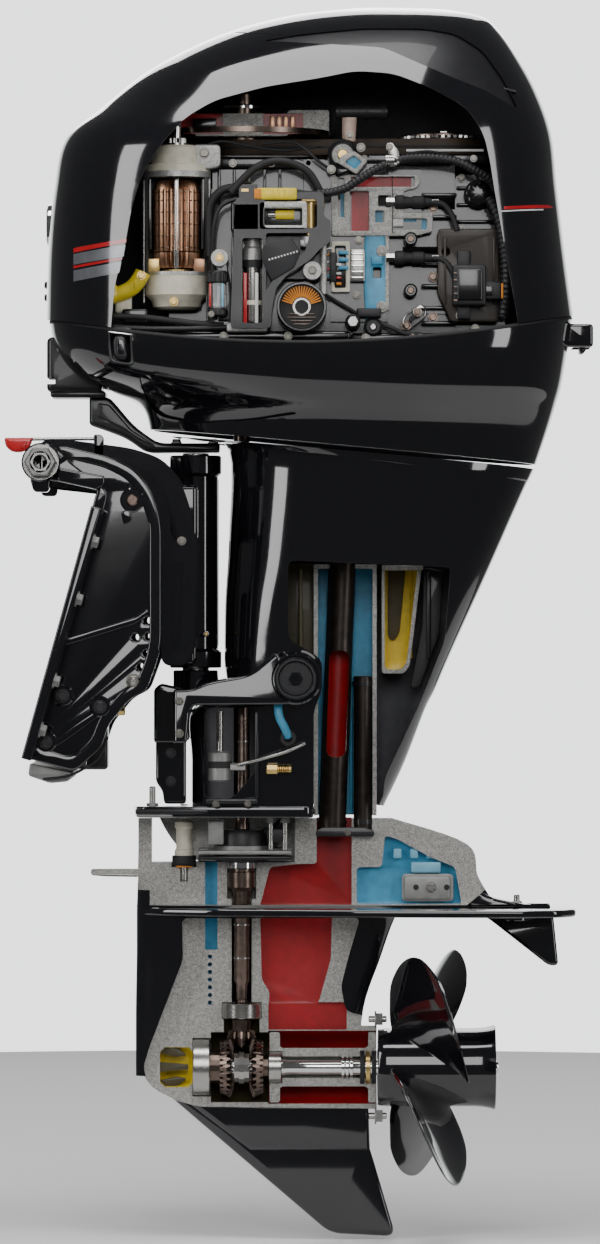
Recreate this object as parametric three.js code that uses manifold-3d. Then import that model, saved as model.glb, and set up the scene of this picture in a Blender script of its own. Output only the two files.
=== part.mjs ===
// A cutaway demonstration outboard motor of about 45 kW with a 20 inch (508 mm) shaft.
// Units are millimetres. +X points aft, +Z points up and -Y is the port side, which is cut open.
// The origin is on the centre plane, where the clamp brackets sit on the transom's top aft edge.
import * as THREE from "three";
import { mergeVertices } from "three/addons/utils/BufferGeometryUtils.js";
import Module from "manifold-3d";

const wasm = await Module();
wasm.setup();

// ---------------------------------------------------------------- driving dimensions
const TRANSOM_LEAN = THREE.MathUtils.degToRad(15.5); // the transom face leans this much from vertical
const TILT = { x: -65, z: 32 }; // tilt tube axis, along Y
const STEER_X = 115; // steering axis, along Z
const CRANK_X = 170; // crankshaft and drive shaft axis, along Z
const CAM_X = 412; // camshaft axis, along Z
const PROP_Z = -690; // propeller shaft axis, along X
const STARTER = { x: 94, y: -95 }; // starter motor axis, along Z
const PLATE_Z = -498; // top face of the anti-ventilation plate
const GAP = 0.5; // clearance between bolted pieces
const PINION_TEETH = 12;
const GEAR_TEETH = 28;
const GEAR_RADIUS = 36; // pitch radius of the forward and reverse gears
const PINION_RADIUS = (GEAR_RADIUS * PINION_TEETH) / GEAR_TEETH;
const CLAMP_Y = [112, 124]; // inner and outer face of a clamp bracket's side plate
const COWL_WALL = 4;

// ---------------------------------------------------------------- materials
const finish = (color, roughness, metalness) =>
  new THREE.MeshStandardMaterial({ color, roughness, metalness });
const BLACK_PAINT = finish(0x08090b, 0.18, 0.1);
const BLACK_CASTING = finish(0x15161a, 0.45, 0.3);
const BLACK_PLASTIC = finish(0x17181b, 0.5, 0.0);
const ALUMINIUM = finish(0xa9a8a2, 0.5, 0.8);
const STEEL = finish(0xb9b6ae, 0.25, 1.0);
const DARK_STEEL = finish(0x4a4340, 0.4, 0.9);
const COPPER = finish(0xa8663a, 0.4, 0.9);
const RED = finish(0xa80f12, 0.35, 0.1);
const RUBBER = finish(0x1a1b1c, 0.7, 0.0);
const ZINC = finish(0xb4b3ae, 0.55, 0.7);
const NYLON = finish(0xd8d6c4, 0.5, 0.0);

// ---------------------------------------------------------------- solid helpers
// Round pieces get this share of the facets asked for, so the whole part stays light.
const FINENESS = 0.62;
const facets = (n) => (n <= 6 ? n : Math.max(8, 2 * Math.round((n * FINENESS) / 2)));

function solid(geometry) {
  const bare = geometry.index ? geometry.toNonIndexed() : geometry.clone();
  bare.deleteAttribute("normal");
  bare.deleteAttribute("uv");
  const merged = mergeVertices(bare, 1e-4);
  const index = merged.index.array;
  const faces = [];
  for (let i = 0; i < index.length; i += 3) {
    const [a, b, c] = [index[i], index[i + 1], index[i + 2]];
    if (a !== b && b !== c && a !== c) faces.push([a, b, c]);
  }
  const build = (list) =>
    new wasm.Manifold(
      new wasm.Mesh({
        numProp: 3,
        vertProperties: merged.attributes.position.array,
        triVerts: new Uint32Array(list.flat()),
      }),
    );
  const made = build(faces);
  return made.volume() < 0 ? build(faces.map(([a, b, c]) => [a, c, b])) : made;
}

const join = (...solids) => solids.reduce((sum, s) => sum.add(s));
const cut = (body, ...tools) => tools.reduce((rest, t) => rest.subtract(t), body);

// A closed outline through the points, with each corner rounded off at the given distance.
function outline(points, round = 0) {
  const shape = new THREE.Shape();
  if (!round) return shape.setFromPoints(points.map((p) => new THREE.Vector2(...p)));
  points.forEach((p, i) => {
    const corner = new THREE.Vector2(...p);
    const before = new THREE.Vector2(...points[(i + points.length - 1) % points.length]);
    const after = new THREE.Vector2(...points[(i + 1) % points.length]);
    const toward = (other) => {
      const side = other.clone().sub(corner);
      return corner.clone().addScaledVector(side, Math.min(round / side.length(), 0.45));
    };
    const start = toward(before);
    const end = toward(after);
    if (i) shape.lineTo(start.x, start.y);
    else shape.moveTo(start.x, start.y);
    shape.quadraticCurveTo(corner.x, corner.y, end.x, end.y);
  });
  shape.closePath();
  return shape;
}

const disc = (x, y, r) => new THREE.Shape().absarc(x, y, r, 0, 2 * Math.PI, false);
const extrude = (shape, depth, segments) =>
  new THREE.ExtrudeGeometry(shape, { depth, bevelEnabled: false, curveSegments: segments });

// An outline in X and Z, made solid from y0 to y1.
function prismY(shape, y0, y1, segments = 2) {
  return solid(extrude(shape, y1 - y0, segments).rotateX(Math.PI / 2).translate(0, y1, 0));
}

// An outline in X and Y, made solid from z0 to z1.
function prismZ(shape, z0, z1, segments = 2) {
  return solid(extrude(shape, z1 - z0, segments).translate(0, 0, z0));
}

function block(x0, x1, y0, y1, z0, z1) {
  const g = new THREE.BoxGeometry(x1 - x0, y1 - y0, z1 - z0);
  return solid(g.translate((x0 + x1) / 2, (y0 + y1) / 2, (z0 + z1) / 2));
}

const rodZ = (x, y, r, z0, z1, sides = 20) =>
  solid(
    new THREE.CylinderGeometry(r, r, z1 - z0, facets(sides))
      .rotateX(Math.PI / 2)
      .translate(x, y, (z0 + z1) / 2),
  );
const rodY = (x, z, r, y0, y1, sides = 20) =>
  solid(
    new THREE.CylinderGeometry(r, r, y1 - y0, facets(sides)).translate(x, (y0 + y1) / 2, z),
  );
const rodX = (y, z, r, x0, x1, sides = 20) =>
  solid(
    new THREE.CylinderGeometry(r, r, x1 - x0, facets(sides))
      .rotateZ(Math.PI / 2)
      .translate((x0 + x1) / 2, y, z),
  );

// A rod between two points.
function rodBetween(from, to, r, sides = 12) {
  const a = new THREE.Vector3(...from);
  const b = new THREE.Vector3(...to);
  const along = b.clone().sub(a);
  const turn = new THREE.Quaternion().setFromUnitVectors(
    new THREE.Vector3(0, 1, 0),
    along.clone().normalize(),
  );
  const g = new THREE.CylinderGeometry(r, r, along.length(), facets(sides));
  g.applyQuaternion(turn).translate(...a.add(b).multiplyScalar(0.5).toArray());
  return solid(g);
}

// A turned piece: pairs of radius and height along the axis, starting and ending on it.
function turned(profile, sides = 24) {
  const points = profile.map(([r, h]) => new THREE.Vector2(r, h));
  return new THREE.LatheGeometry(points, facets(sides));
}
const turnedZ = (profile, x, y, sides) =>
  solid(turned(profile, sides).rotateX(Math.PI / 2).translate(x, y, 0));
const turnedX = (profile, z, sides) =>
  solid(turned(profile, sides).rotateZ(-Math.PI / 2).translate(0, 0, z));
const turnedY = (profile, x, z, sides) => solid(turned(profile, sides).translate(x, 0, z));

// One horizontal section of a body: a superellipse from its front point to its rear point.
// dip lowers the middle of the section, and taper narrows it towards the rear.
function section({ front, rear, half, power = 2.6, dip = 0, taper = 0 }, count) {
  const points = [];
  for (let k = 0; k < count; k++) {
    const a = (2 * Math.PI * k) / count;
    const bulge = (t) => Math.sign(t) * Math.abs(t) ** (2 / power);
    const u = bulge(Math.cos(a));
    const t = (u + 1) / 2;
    points.push(
      new THREE.Vector3(
        THREE.MathUtils.lerp(front[0], rear[0], t),
        half * bulge(Math.sin(a)) * (1 - taper * t),
        THREE.MathUtils.lerp(front[1], rear[1], t) - dip * (1 - u * u),
      ),
    );
  }
  return points;
}

// A closed skin over rings of points that all have the same count.
function skin(rings) {
  const count = rings[0].length;
  const positions = [];
  const triangle = (...points) => points.forEach((p) => positions.push(p.x, p.y, p.z));
  for (let r = 0; r + 1 < rings.length; r++) {
    for (let k = 0; k < count; k++) {
      const next = (k + 1) % count;
      const [a, b, c, d] = [rings[r][k], rings[r][next], rings[r + 1][next], rings[r + 1][k]];
      triangle(a, b, c);
      triangle(a, c, d);
    }
  }
  [rings[0], rings[rings.length - 1]].forEach((ring, end) => {
    const middle = ring
      .reduce((sum, p) => sum.add(p), new THREE.Vector3())
      .divideScalar(count);
    for (let k = 0; k < count; k++) {
      const pair = [ring[(k + 1) % count], ring[k]];
      triangle(middle, ...(end ? pair.reverse() : pair));
    }
  });
  const g = new THREE.BufferGeometry();
  g.setAttribute("position", new THREE.Float32BufferAttribute(positions, 3));
  return solid(g);
}

const loft = (sections, count) => skin(sections.map((s) => section(s, facets(count))));

// The sections moved in by a wall's thickness.
const inset = (sections, wall) =>
  sections.map((s) => ({
    ...s,
    front: [s.front[0] + wall, s.front[1]],
    rear: [s.rear[0] - wall, s.rear[1]],
    half: s.half - wall,
  }));

const root = new THREE.Group();
function add(name, made, material) {
  const mesh = made.getMesh();
  const g = new THREE.BufferGeometry();
  g.setAttribute("position", new THREE.BufferAttribute(mesh.vertProperties, 3));
  g.setIndex(new THREE.BufferAttribute(mesh.triVerts, 1));
  g.computeVertexNormals();
  const piece = new THREE.Mesh(g, material);
  piece.name = name;
  root.add(piece);
}

// ---------------------------------------------------------------- clamp brackets
const along = (distance, off = 0) => [
  -distance * Math.sin(TRANSOM_LEAN) + off * Math.cos(TRANSOM_LEAN),
  -distance * Math.cos(TRANSOM_LEAN) - off * Math.sin(TRANSOM_LEAN),
];
const TRANSOM_LENGTH = 328;
const FLANGE = 12;
const HOLE_RADIUS = { mount: 6.5, trim: 4.6, bolt: 5.5 };
const TRIM_HOLES = [
  [59, -154],
  [45, -174],
  [60, -173],
  [58, -193],
  [51, -209],
];
const SIDE_HOLES = [
  [-40, -243],
  [4, -256],
  [-60, -298],
];
const MOUNT_HOLES = [60, 130, 230, 290]; // distances down the transom face

function clampBracket(side) {
  const [inner, outer] = CLAMP_Y;
  const y = (a, b) => (side > 0 ? [a, b] : [-b, -a]);
  const web = prismY(
    outline(
      [
        [-48, 54],
        [14, 40],
        [46, 24],
        [64, 0],
        [76, -36],
        [76, -178],
        [72, -200],
        [58, -238],
        [38, -248],
        [14, -277],
        [4, -306],
        [-26, -332],
        along(TRANSOM_LENGTH),
        along(20),
        [0, 0],
        [-46, 10],
        [-64, 12],
      ],
      9,
    ),
    ...y(inner, outer),
  );
  const flange = prismY(
    outline([along(14), along(TRANSOM_LENGTH), along(TRANSOM_LENGTH, FLANGE), along(14, FLANGE)]),
    ...y(inner, 168),
  );
  const hook = prismY(
    outline([[-46, 10], [0, 0], [10, 6], [10, 16], [-44, 26]]),
    ...y(inner, 150),
  );
  const boss = rodY(TILT.x, TILT.z, 23, ...y(inner, 150), 28);
  const holes = [
    rodY(TILT.x, TILT.z, 14.4, ...y(inner - 1, 170), 28),
    ...TRIM_HOLES.map(([x, z]) => rodY(x, z, HOLE_RADIUS.trim, ...y(inner - 1, 130), 10)),
    ...SIDE_HOLES.map(([x, z]) => rodY(x, z, HOLE_RADIUS.bolt, ...y(inner - 1, 130), 10)),
    ...MOUNT_HOLES.map((d) => {
      const [from, to] = [along(d, -5), along(d, FLANGE + 5)];
      const at = side * 146;
      return rodBetween([from[0], at, from[1]], [to[0], at, to[1]], HOLE_RADIUS.mount, 10);
    }),
  ];
  return cut(join(web, flange, hook, boss), ...holes);
}
add("clamp_bracket_port", clampBracket(-1), BLACK_PAINT);
add("clamp_bracket_starboard", clampBracket(1), BLACK_PAINT);

add(
  "tilt_tube",
  cut(
    turnedY(
      [
        [0, -178],
        [19, -178],
        [19, -151],
        [13.5, -151],
        [13.5, 151],
        [19, 151],
        [19, 178],
        [0, 178],
      ],
      TILT.x,
      TILT.z,
    ),
    rodY(TILT.x, TILT.z, 8, -200, 200, 16),
  ),
  STEEL,
);

// ---------------------------------------------------------------- power trim and tilt
const RAM_LOW = { x: -40, z: -292 }; // pin of the tilt cylinder on the clamp brackets
const RAM_TOP = { x: 42, z: -12 }; // pin of the ram on the swivel bracket
const ramLength = Math.hypot(RAM_TOP.x - RAM_LOW.x, RAM_TOP.z - RAM_LOW.z);
const onRam = (distance) => [
  RAM_LOW.x + ((RAM_TOP.x - RAM_LOW.x) * distance) / ramLength,
  0,
  RAM_LOW.z + ((RAM_TOP.z - RAM_LOW.z) * distance) / ramLength,
];
add(
  "tilt_cylinder_barrel",
  cut(
    join(
      rodBetween(onRam(12), onRam(188), 22, 20),
      rodBetween(onRam(180), onRam(196), 25, 20),
      rodY(RAM_LOW.x, RAM_LOW.z, 18, -16, 16),
    ),
    rodY(RAM_LOW.x, RAM_LOW.z, 9.6, -30, 30, 16),
    rodBetween(onRam(30), onRam(230), 9.5, 16),
  ),
  BLACK_CASTING,
);
add(
  "tilt_ram_rod",
  join(
    rodBetween(onRam(44), onRam(ramLength - 6), 8.5, 16),
    rodY(RAM_TOP.x, RAM_TOP.z, 14, -13, 13),
  ),
  STEEL,
);
const sidePlateFace = CLAMP_Y[0] - GAP;
add(
  "trim_pump_unit",
  cut(
    join(
      block(-52, 12, -108, -28, -276, -205),
      rodZ(-4, -70, 24, -206, -116, 20),
      block(-52, 12, 28, 106, -276, -190),
      rodY(RAM_LOW.x, RAM_LOW.z, 9, -sidePlateFace, sidePlateFace, 16),
      block(-66, -14, -sidePlateFace, -84, -318, -270),
      block(-66, -14, 84, sidePlateFace, -318, -270),
    ),
    rodY(4, -256, 12, -120, 120, 12),
  ),
  BLACK_CASTING,
);
add(
  "clamp_anode",
  prismY(outline([[-80, -322.5], [-28, -334], [-34, -345], [-56, -347], [-82, -338]], 3), -104, 104),
  ZINC,
);

// ---------------------------------------------------------------- swivel bracket
const PIN_RADIUS = 16;
function swivelBracket() {
  const arm = outline(
    [
      [-66, 54],
      [-44, 56],
      [40, 45],
      [75, 34],
      [98, 8],
      [109, -24],
      [117, -70],
      [112, -186],
      [104, -204],
      [80, -204],
      [76, -120],
      [80, -60],
      [62, -24],
      [22, 0],
      [-66, 10],
    ],
    10,
  );
  const back = outline([[84, 30], [104, 0], [114, -60], [117, -205], [96, -205], [88, -90], [76, 0]]);
  const ear = outline([[18, 12], [70, 22], [96, 0], [96, -50], [40, -40], [16, -24]], 12);
  const body = join(
    prismY(arm, 84, 108),
    prismY(arm, -108, -84),
    block(84, 120, -108, 108, -60, 6),
    prismY(back, -34, 34),
    rodZ(STEER_X, 0, 27, -211, 43.5, 28),
    rodZ(STEER_X, 0, 31, -211, -190, 28),
    rodZ(STEER_X, 0, 31, 20, 43.5, 28),
    prismY(ear, 30, 44),
    prismY(ear, -44, -30),
    rodY(TILT.x, TILT.z, 22, 84, 108, 24),
    rodY(TILT.x, TILT.z, 22, -108, -84, 24),
    block(-4, 8, -108, -103, 40, 66),
  );
  return cut(
    body,
    rodZ(STEER_X, 0, PIN_RADIUS + 0.8, -230, 60, 28),
    rodY(TILT.x, TILT.z, 14.4, -120, 120, 24),
    rodY(RAM_TOP.x, RAM_TOP.z, 7, -48, 48, 12),
  );
}
add("swivel_bracket", swivelBracket(), BLACK_PAINT);
add(
  "tilt_lock_lever",
  join(
    rodBetween([-78, -96, 61], [2, -96, 61], 2, 8),
    rodY(2, 61, 4.5, -102, -90, 10),
    prismY(outline([[-111, 62.5], [-76, 62.5], [-80, 51], [-88, 45], [-101, 45], [-109, 52]], 4), -101, -91),
  ),
  RED,
);

// ---------------------------------------------------------------- steering and lower mounts
add("swivel_pin", rodZ(STEER_X, 0, PIN_RADIUS, -238, 46, 28), STEEL);
add(
  "steering_arm",
  cut(
    prismY(
      outline(
        [[-12, 113], [12, 113], [20, 104], [42, 78], [70, 58], [144, 58], [144, 46.5], [56, 46.5],
          [32, 64], [14, 71], [-12, 80]],
        3,
      ),
      -26,
      26,
    ),
    rodZ(-1, 0, 6, 60, 120, 12),
  ),
  BLACK_CASTING,
);
const LOWER_MOUNT = { x: 235, z: -223, r: 31 };
const YOKE_Y = [84, 99];
add(
  "lower_yoke",
  cut(
    join(
      ...[-1, 1].map((side) => {
        const y = side > 0 ? YOKE_Y : [-YOKE_Y[1], -YOKE_Y[0]];
        return join(
          prismY(
            outline(
              [[90, -236], [109, -236], [132, -227], [179, -219], [214, -190], [232, -254], [110, -255],
                [106, -300], [90, -300]],
              5,
            ),
            ...y,
          ),
          rodY(LOWER_MOUNT.x, LOWER_MOUNT.z, LOWER_MOUNT.r, ...y, 28),
        );
      }),
      prismY(outline([[66, -236], [74, -229], [104, -236], [104, -300], [66, -300]], 3), -62, 62),
      block(90, 104, -YOKE_Y[1] + 1, YOKE_Y[1] - 1, -299, -237),
      prismY(outline([[68, -290], [104, -290], [104, -373], [78, -373], [76, -358], [68, -346]], 3), -48, 48),
      rodZ(STEER_X, 0, 27, -240, -214, 24),
    ),
    rodZ(STEER_X, 0, PIN_RADIUS + 0.4, -239, -200, 28),
  ),
  BLACK_PAINT,
);
for (const [name, side] of [
  ["lower_mount_port", -1],
  ["lower_mount_starboard", 1],
]) {
  const y = (a, b) => (side > 0 ? [a, b] : [-b, -a]);
  add(
    name,
    cut(
      rodY(LOWER_MOUNT.x, LOWER_MOUNT.z, 25, ...y(YOKE_Y[1] + GAP, 111), 28),
      rodY(LOWER_MOUNT.x, LOWER_MOUNT.z, 19, ...y(107, 115), 24),
    ).add(rodY(LOWER_MOUNT.x, LOWER_MOUNT.z, 8, ...y(104, 112), 6)),
    RUBBER,
  );
}

// ---------------------------------------------------------------- drive shaft housing
const CHAMBER = { x0: 256.5, x1: 332, depth: 32, wall: 5, top: -92, bottom: -388 };
const MIDSECTION = [
  { front: [66, 67], rear: [521, 27], half: 116, power: 2.3 },
  { front: [112, 61], rear: [515, 14], half: 113, power: 2.3 },
  { front: [154, 50], rear: [508, 0], half: 108, power: 2.3 },
  { front: [154, -60], rear: [466, -95], half: 100, power: 2.3 },
  { front: [149, -130], rear: [434, -165], half: 90, power: 2.4 },
  { front: [149, -200], rear: [416, -205], half: 83, power: 2.5 },
  { front: [149, -243], rear: [402, -238], half: 80, power: 2.6 },
  { front: [110, -262], rear: [390, -262], half: 78, power: 3 },
  { front: [110, -320], rear: [366, -324], half: 72, power: 3 },
  { front: [110, -376], rear: [341, -376], half: 66, power: 3 },
];
const HOUSING_WINDOW = [
  [226, -88],
  [419, -95],
  [413, -178],
  [382, -256],
  [341, -343],
  [337, -400],
  [256, -400],
  [256, -262],
  [266, -238],
  [266, -200],
  [226, -176],
];
const SERVICE_WINDOW = [
  [126, -258],
  [190, -258],
  [190, -330],
  [160, -366],
  [126, -366],
];
add(
  "driveshaft_housing",
  cut(
    join(
      loft(MIDSECTION, 32),
      prismZ(
        outline([[46, -60], [256, -70], [256, 70], [46, 60], [40, 0]], 14),
        -389,
        -376.5 + 1,
      ),
    ),
    loft(
      inset(MIDSECTION, 7).map((s, i, all) => {
        const lift = i === 0 ? 30 : 0;
        const drop = i === all.length - 1 ? -1 : 0;
        return {
          ...s,
          front: [s.front[0], s.front[1] + lift + drop],
          rear: [s.rear[0], s.rear[1] + lift + drop],
        };
      }),
      32,
    ),
    prismY(outline(HOUSING_WINDOW, 8), -160, 0),
    prismY(outline(SERVICE_WINDOW, 8), -160, 0),
    block(40, 150, -32, 32, 30, 59),
    block(CHAMBER.x0 - GAP, CHAMBER.x1 + GAP, -1, CHAMBER.depth + GAP, -400, CHAMBER.top),
    rodZ(CRANK_X, 0, 13, -400, 80, 16),
    rodZ(101, 0, 11.5, -400, -370, 12),
  ),
  BLACK_PAINT,
);

add(
  "exhaust_housing",
  cut(
    block(CHAMBER.x0, CHAMBER.x1, 0, CHAMBER.depth, CHAMBER.bottom, CHAMBER.top),
    block(
      CHAMBER.x0 + CHAMBER.wall,
      CHAMBER.x1 - CHAMBER.wall,
      -1,
      CHAMBER.depth - CHAMBER.wall,
      CHAMBER.bottom - 1,
      CHAMBER.top + 1,
    ),
  ),
  ALUMINIUM,
);
const EXHAUST_TUBE = { top: [292, 6, -60], bottom: [278, 6, -412], r: 16.5, bore: 13.5 };
const WATER_TUBE = { x: 315.5, y: 6, r: 11.3, bore: 8.5, top: -221, bottom: -409 };
add(
  "exhaust_tube",
  cut(
    rodBetween(EXHAUST_TUBE.top, EXHAUST_TUBE.bottom, EXHAUST_TUBE.r, 24),
    rodBetween([292.2, 6, -54], [277.8, 6, -418], EXHAUST_TUBE.bore, 20),
    prismY(
      outline([[276, -190], [299, -190], [295, -315], [272, -315]], 10),
      -20,
      0,
      5,
    ),
  ),
  DARK_STEEL,
);
add(
  "water_tube",
  cut(
    rodZ(WATER_TUBE.x, WATER_TUBE.y, WATER_TUBE.r, WATER_TUBE.bottom, WATER_TUBE.top, 24),
    rodZ(WATER_TUBE.x, WATER_TUBE.y, WATER_TUBE.bore, -420, -210, 18),
  ),
  DARK_STEEL,
);
add(
  "oil_sump",
  cut(
    prismY(outline([[338, -92], [386, -92], [372, -208], [365, -218], [338, -218]], 4), 0, 50),
    prismY(outline([[342, -80], [382, -80], [367, -203], [361, -212], [342, -212]], 4), -1, 45),
  ),
  ALUMINIUM,
);

// ---------------------------------------------------------------- cowls
const LOWER_COWL = [
  { front: [-60, 200], rear: [566, 205], half: 186, power: 2.9, dip: 32 },
  { front: [-53, 172], rear: [561, 170], half: 184, power: 2.9, dip: 14 },
  { front: [-28, 139], rear: [554, 128], half: 175, power: 2.8 },
  { front: [18, 117], rear: [547, 103], half: 158, power: 2.6 },
  { front: [50, 100], rear: [537, 72], half: 136, power: 2.5 },
  { front: [60, 74], rear: [523, 32], half: 119, power: 2.4 },
];
const RIM = 6;
add(
  "lower_cowl",
  cut(
    join(
      loft(LOWER_COWL, 39),
      block(545, 590, -42, 42, 172, 200),
    ),
    loft(
      inset(LOWER_COWL, 5).map((s, i, all) => {
        const shift = i === 0 ? 4 : i === all.length - 1 ? -3 : 0;
        return {
          ...s,
          front: [s.front[0], s.front[1] + shift],
          rear: [s.rear[0], s.rear[1] + shift],
        };
      }),
      39,
    ),
    block(566, 595, -36, 36, 166, 189),
    prismY(outline([[13, 188], [42, 188], [44, 146], [17, 150]], 4), -200, -120),
  ),
  BLACK_PAINT,
);
add(
  "rear_latch_lever",
  join(rodY(578, 182, 5, -30, 30, 12), block(575, 581, -24, 24, 166, 186)),
  BLACK_PLASTIC,
);
add(
  "side_latch_button",
  prismY(outline([[20, 182], [36, 182], [37, 152], [21, 154]], 6), -153, -143),
  BLACK_PLASTIC,
);

const TOP_COWL = [
  { front: [-64, 204], rear: [568, 209], half: 189, power: 2.9, dip: 31 },
  { front: [-62, 286], rear: [558, 285], half: 190, power: 2.9, dip: 6 },
  { front: [-55, 362], rear: [549, 362], half: 186, power: 2.9 },
  { front: [-42, 420], rear: [542, 426], half: 176, power: 2.8 },
  { front: [0, 458], rear: [524, 478], half: 160, power: 2.7 },
  { front: [60, 506], rear: [500, 522], half: 136, power: 2.6 },
  { front: [140, 546], rear: [479, 552], half: 105, power: 2.5 },
  { front: [228, 570], rear: [462, 569], half: 66, power: 2.4 },
  { front: [296, 580], rear: [430, 578], half: 28, power: 2.2 },
];
const COWL_WINDOW = [
  [14, 150],
  [22, 240],
  [40, 290],
  [46, 330],
  [54, 370],
  [78, 408],
  [106, 438],
  [150, 462],
  [220, 481],
  [290, 493],
  [344, 492],
  [396, 472],
  [436, 450],
  [456, 420],
  [462, 380],
  [478, 300],
  [496, 190],
  [496, 150],
];
add(
  "top_cowl",
  cut(
    loft(TOP_COWL, 39),
    loft(
      inset(TOP_COWL, COWL_WALL).map((s, i) => ({
        ...s,
        front: [s.front[0], s.front[1] - (i ? 4 : 3)],
        rear: [s.rear[0], s.rear[1] - (i ? 4 : 3)],
      })),
      39,
    ),
    prismY(outline(COWL_WINDOW, 12), -220, -30),
  ),
  BLACK_PAINT,
);

// ---------------------------------------------------------------- powerhead
const DECK_Z = 112; // underside of the powerhead
add(
  "crankcase",
  cut(
    join(
      block(136, 244, -72, 72, DECK_Z, 392),
      block(130, 244, -80, 80, DECK_Z, 150),
      block(84, 140, -54, 60, 200, 360),
    ),
    rodZ(CRANK_X, 0, 21, 90, 400, 20),
  ),
  BLACK_CASTING,
);
add(
  "cylinder_block",
  cut(
    join(
      block(244.5, 344, -82, 82, DECK_Z, 392),
      block(276, 344, -96, 82, 200, 374),
    ),
    prismY(outline([[301, 306], [324, 306], [324, 344], [340, 360], [378, 360], [378, 372],
      [301, 372]], 2), -100, -68),
    block(288, 295, -100, -70, 318, 354),
    block(329, 338, -100, -70, 318, 331),
    block(330, 350, -100, -76, 337, 352),
    block(320, 340, -100, -70, 214, 304),
  ),
  BLACK_CASTING,
);
add(
  "cylinder_head",
  cut(
    join(
      block(344.5, 424, -70, 70, DECK_Z + 20, 392),
      block(344.5, 384, -96, 70, 302, 380),
      ...[334, 278, 222].map((z) => block(384, 424, -80, 70, z - 12, z + 12)),
    ),
    block(340, 372, -100, -74, 360, 372),
    block(340, 378, -100, -74, 318, 327),
    rodZ(CAM_X, 0, 9.6, 300, 400, 16),
    ...[344, 283].map((z) => rodX(-78, z, 11, 362, 430, 14)),
  ),
  BLACK_CASTING,
);
add(
  "valve_cover",
  join(
    prismY(outline([[424.5, 376], [470, 376], [484, 362], [484, 150], [470, 136], [424.5, 136]], 6), -62, 62),
    ...[180, 220, 260, 300, 340].map((z) => block(440, 488, -58, 58, z, z + 6)),
  ),
  BLACK_CASTING,
);

const FLYWHEEL_RADIUS = 108;
add(
  "crankshaft",
  join(
    turnedZ(
      [
        [0, 110],
        [19.5, 110],
        [19.5, 398],
        [25, 398],
        [25, 423],
        [16, 423],
        [16, 478],
        [0, 478],
      ],
      CRANK_X,
      0,
    ),
    rodZ(CRANK_X, 0, 28, 396, 399.5, 24),
  ),
  DARK_STEEL,
);
add(
  "flywheel",
  cut(
    turnedZ(
      [
        [0, 424],
        [34, 424],
        [40, 440],
        [84, 440],
        [84, 424],
        [FLYWHEEL_RADIUS, 424],
        [FLYWHEEL_RADIUS, 456],
        [0, 456],
      ],
      CRANK_X,
      0,
      39,
    ),
    rodZ(CRANK_X, 0, 17, 420, 460, 24),
    block(CRANK_X - 120, CRANK_X + 120, -130, -26, 400, 470),
  ),
  BLACK_CASTING,
);

// A flat loop round two pulleys, given as an outline that is grown by a distance.
function beltOutline(grow) {
  const [r1, r2] = [25.6 + grow, 50.6 + grow];
  const lean = Math.acos((r1 - r2) / (CAM_X - CRANK_X));
  return new THREE.Shape()
    .absarc(CAM_X, 0, r2, -lean, lean, false)
    .absarc(CRANK_X, 0, r1, lean, 2 * Math.PI - lean, false);
}
add(
  "timing_belt",
  cut(prismZ(beltOutline(4), 401, 421, 14), prismZ(beltOutline(0), 390, 430, 14)),
  RUBBER,
);
add(
  "cam_sprocket",
  join(rodZ(CAM_X, 0, 50, 400, 424, 36), rodZ(CAM_X, 0, 54, 422, 425, 36), rodZ(CAM_X, 0, 8, 306, 401, 16)),
  DARK_STEEL,
);

// ---------------------------------------------------------------- starter motor
const { x: SX, y: SY } = STARTER;
add(
  "starter_housing",
  cut(
    join(
      rodZ(SX, SY, 38, 232, 376, 28),
      rodZ(SX, SY, 34, 376, 408, 24),
      rodZ(SX, SY, 30, 214, 233, 24),
      block(SX + 20, SX + 68, SY + 4, -72.5, 376, 408),
    ),
    rodZ(SX, SY, 34, 244, 368, 28),
    rodZ(SX, SY, 13.5, 360, 420, 20),
    rodZ(SX, SY, 5.4, 236, 250, 14),
    block(SX - 32, SX + 32, SY - 60, SY, 246, 366),
    block(SX - 9, SX + 14, SY - 60, SY, 364, 412),
  ),
  ALUMINIUM,
);
add(
  "starter_armature",
  join(
    rodZ(SX, SY, 4.5, 240.5, 432, 14),
    rodZ(SX, SY, 28, 282, 356, 28),
    rodZ(SX, SY, 18, 258, 283, 20),
  ),
  COPPER,
);
add(
  "starter_pinion",
  cut(
    join(rodZ(SX, SY, 12.5, 378, 404, 20), rodZ(SX, SY, 11, 403, 417, 12)),
    rodZ(SX, SY, 5.2, 370, 430, 14),
  ),
  STEEL,
);

// ---------------------------------------------------------------- fuel and intake side
const INTAKE_Y = [-150, -100];
add(
  "intake_and_vapour_tank",
  cut(
    join(
      prismY(
        outline(
          [
            [162, 300],
            [164, 344],
            [192, 344],
            [192, 350],
            [268, 350],
            [268, 320],
            [276, 318],
            [276, 292],
            [264, 284],
            [252, 270],
            [226, 254],
            [212, 238],
            [207, 214],
            [206, 190],
            [158, 190],
          ],
          5,
        ),
        ...INTAKE_Y,
      ),
      block(168, 190, -138, -112, 342, 360),
      block(218, 275, -110, -82.5, 250, 286),
    ),
    prismY(outline([[172, 296], [196, 296], [196, 196], [172, 196]], 3), -160, -112),
    prismY(outline([[198, 342], [260, 342], [260, 308], [198, 308]], 4), -160, -110),
    prismY(outline([[200, 302], [252, 302], [246, 280], [216, 258], [200, 234]], 3), -160, -112),
  ),
  ALUMINIUM,
);
add(
  "fuel_pump",
  join(
    rodZ(184, -126, 10, 198, 262, 20),
    rodZ(184, -126, 11, 262, 272, 20),
    rodZ(184, -126, 9, 272, 293, 16),
  ),
  ZINC,
);
const FILTER = { x: 242, z: 215, r: 29.5 };
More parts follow.
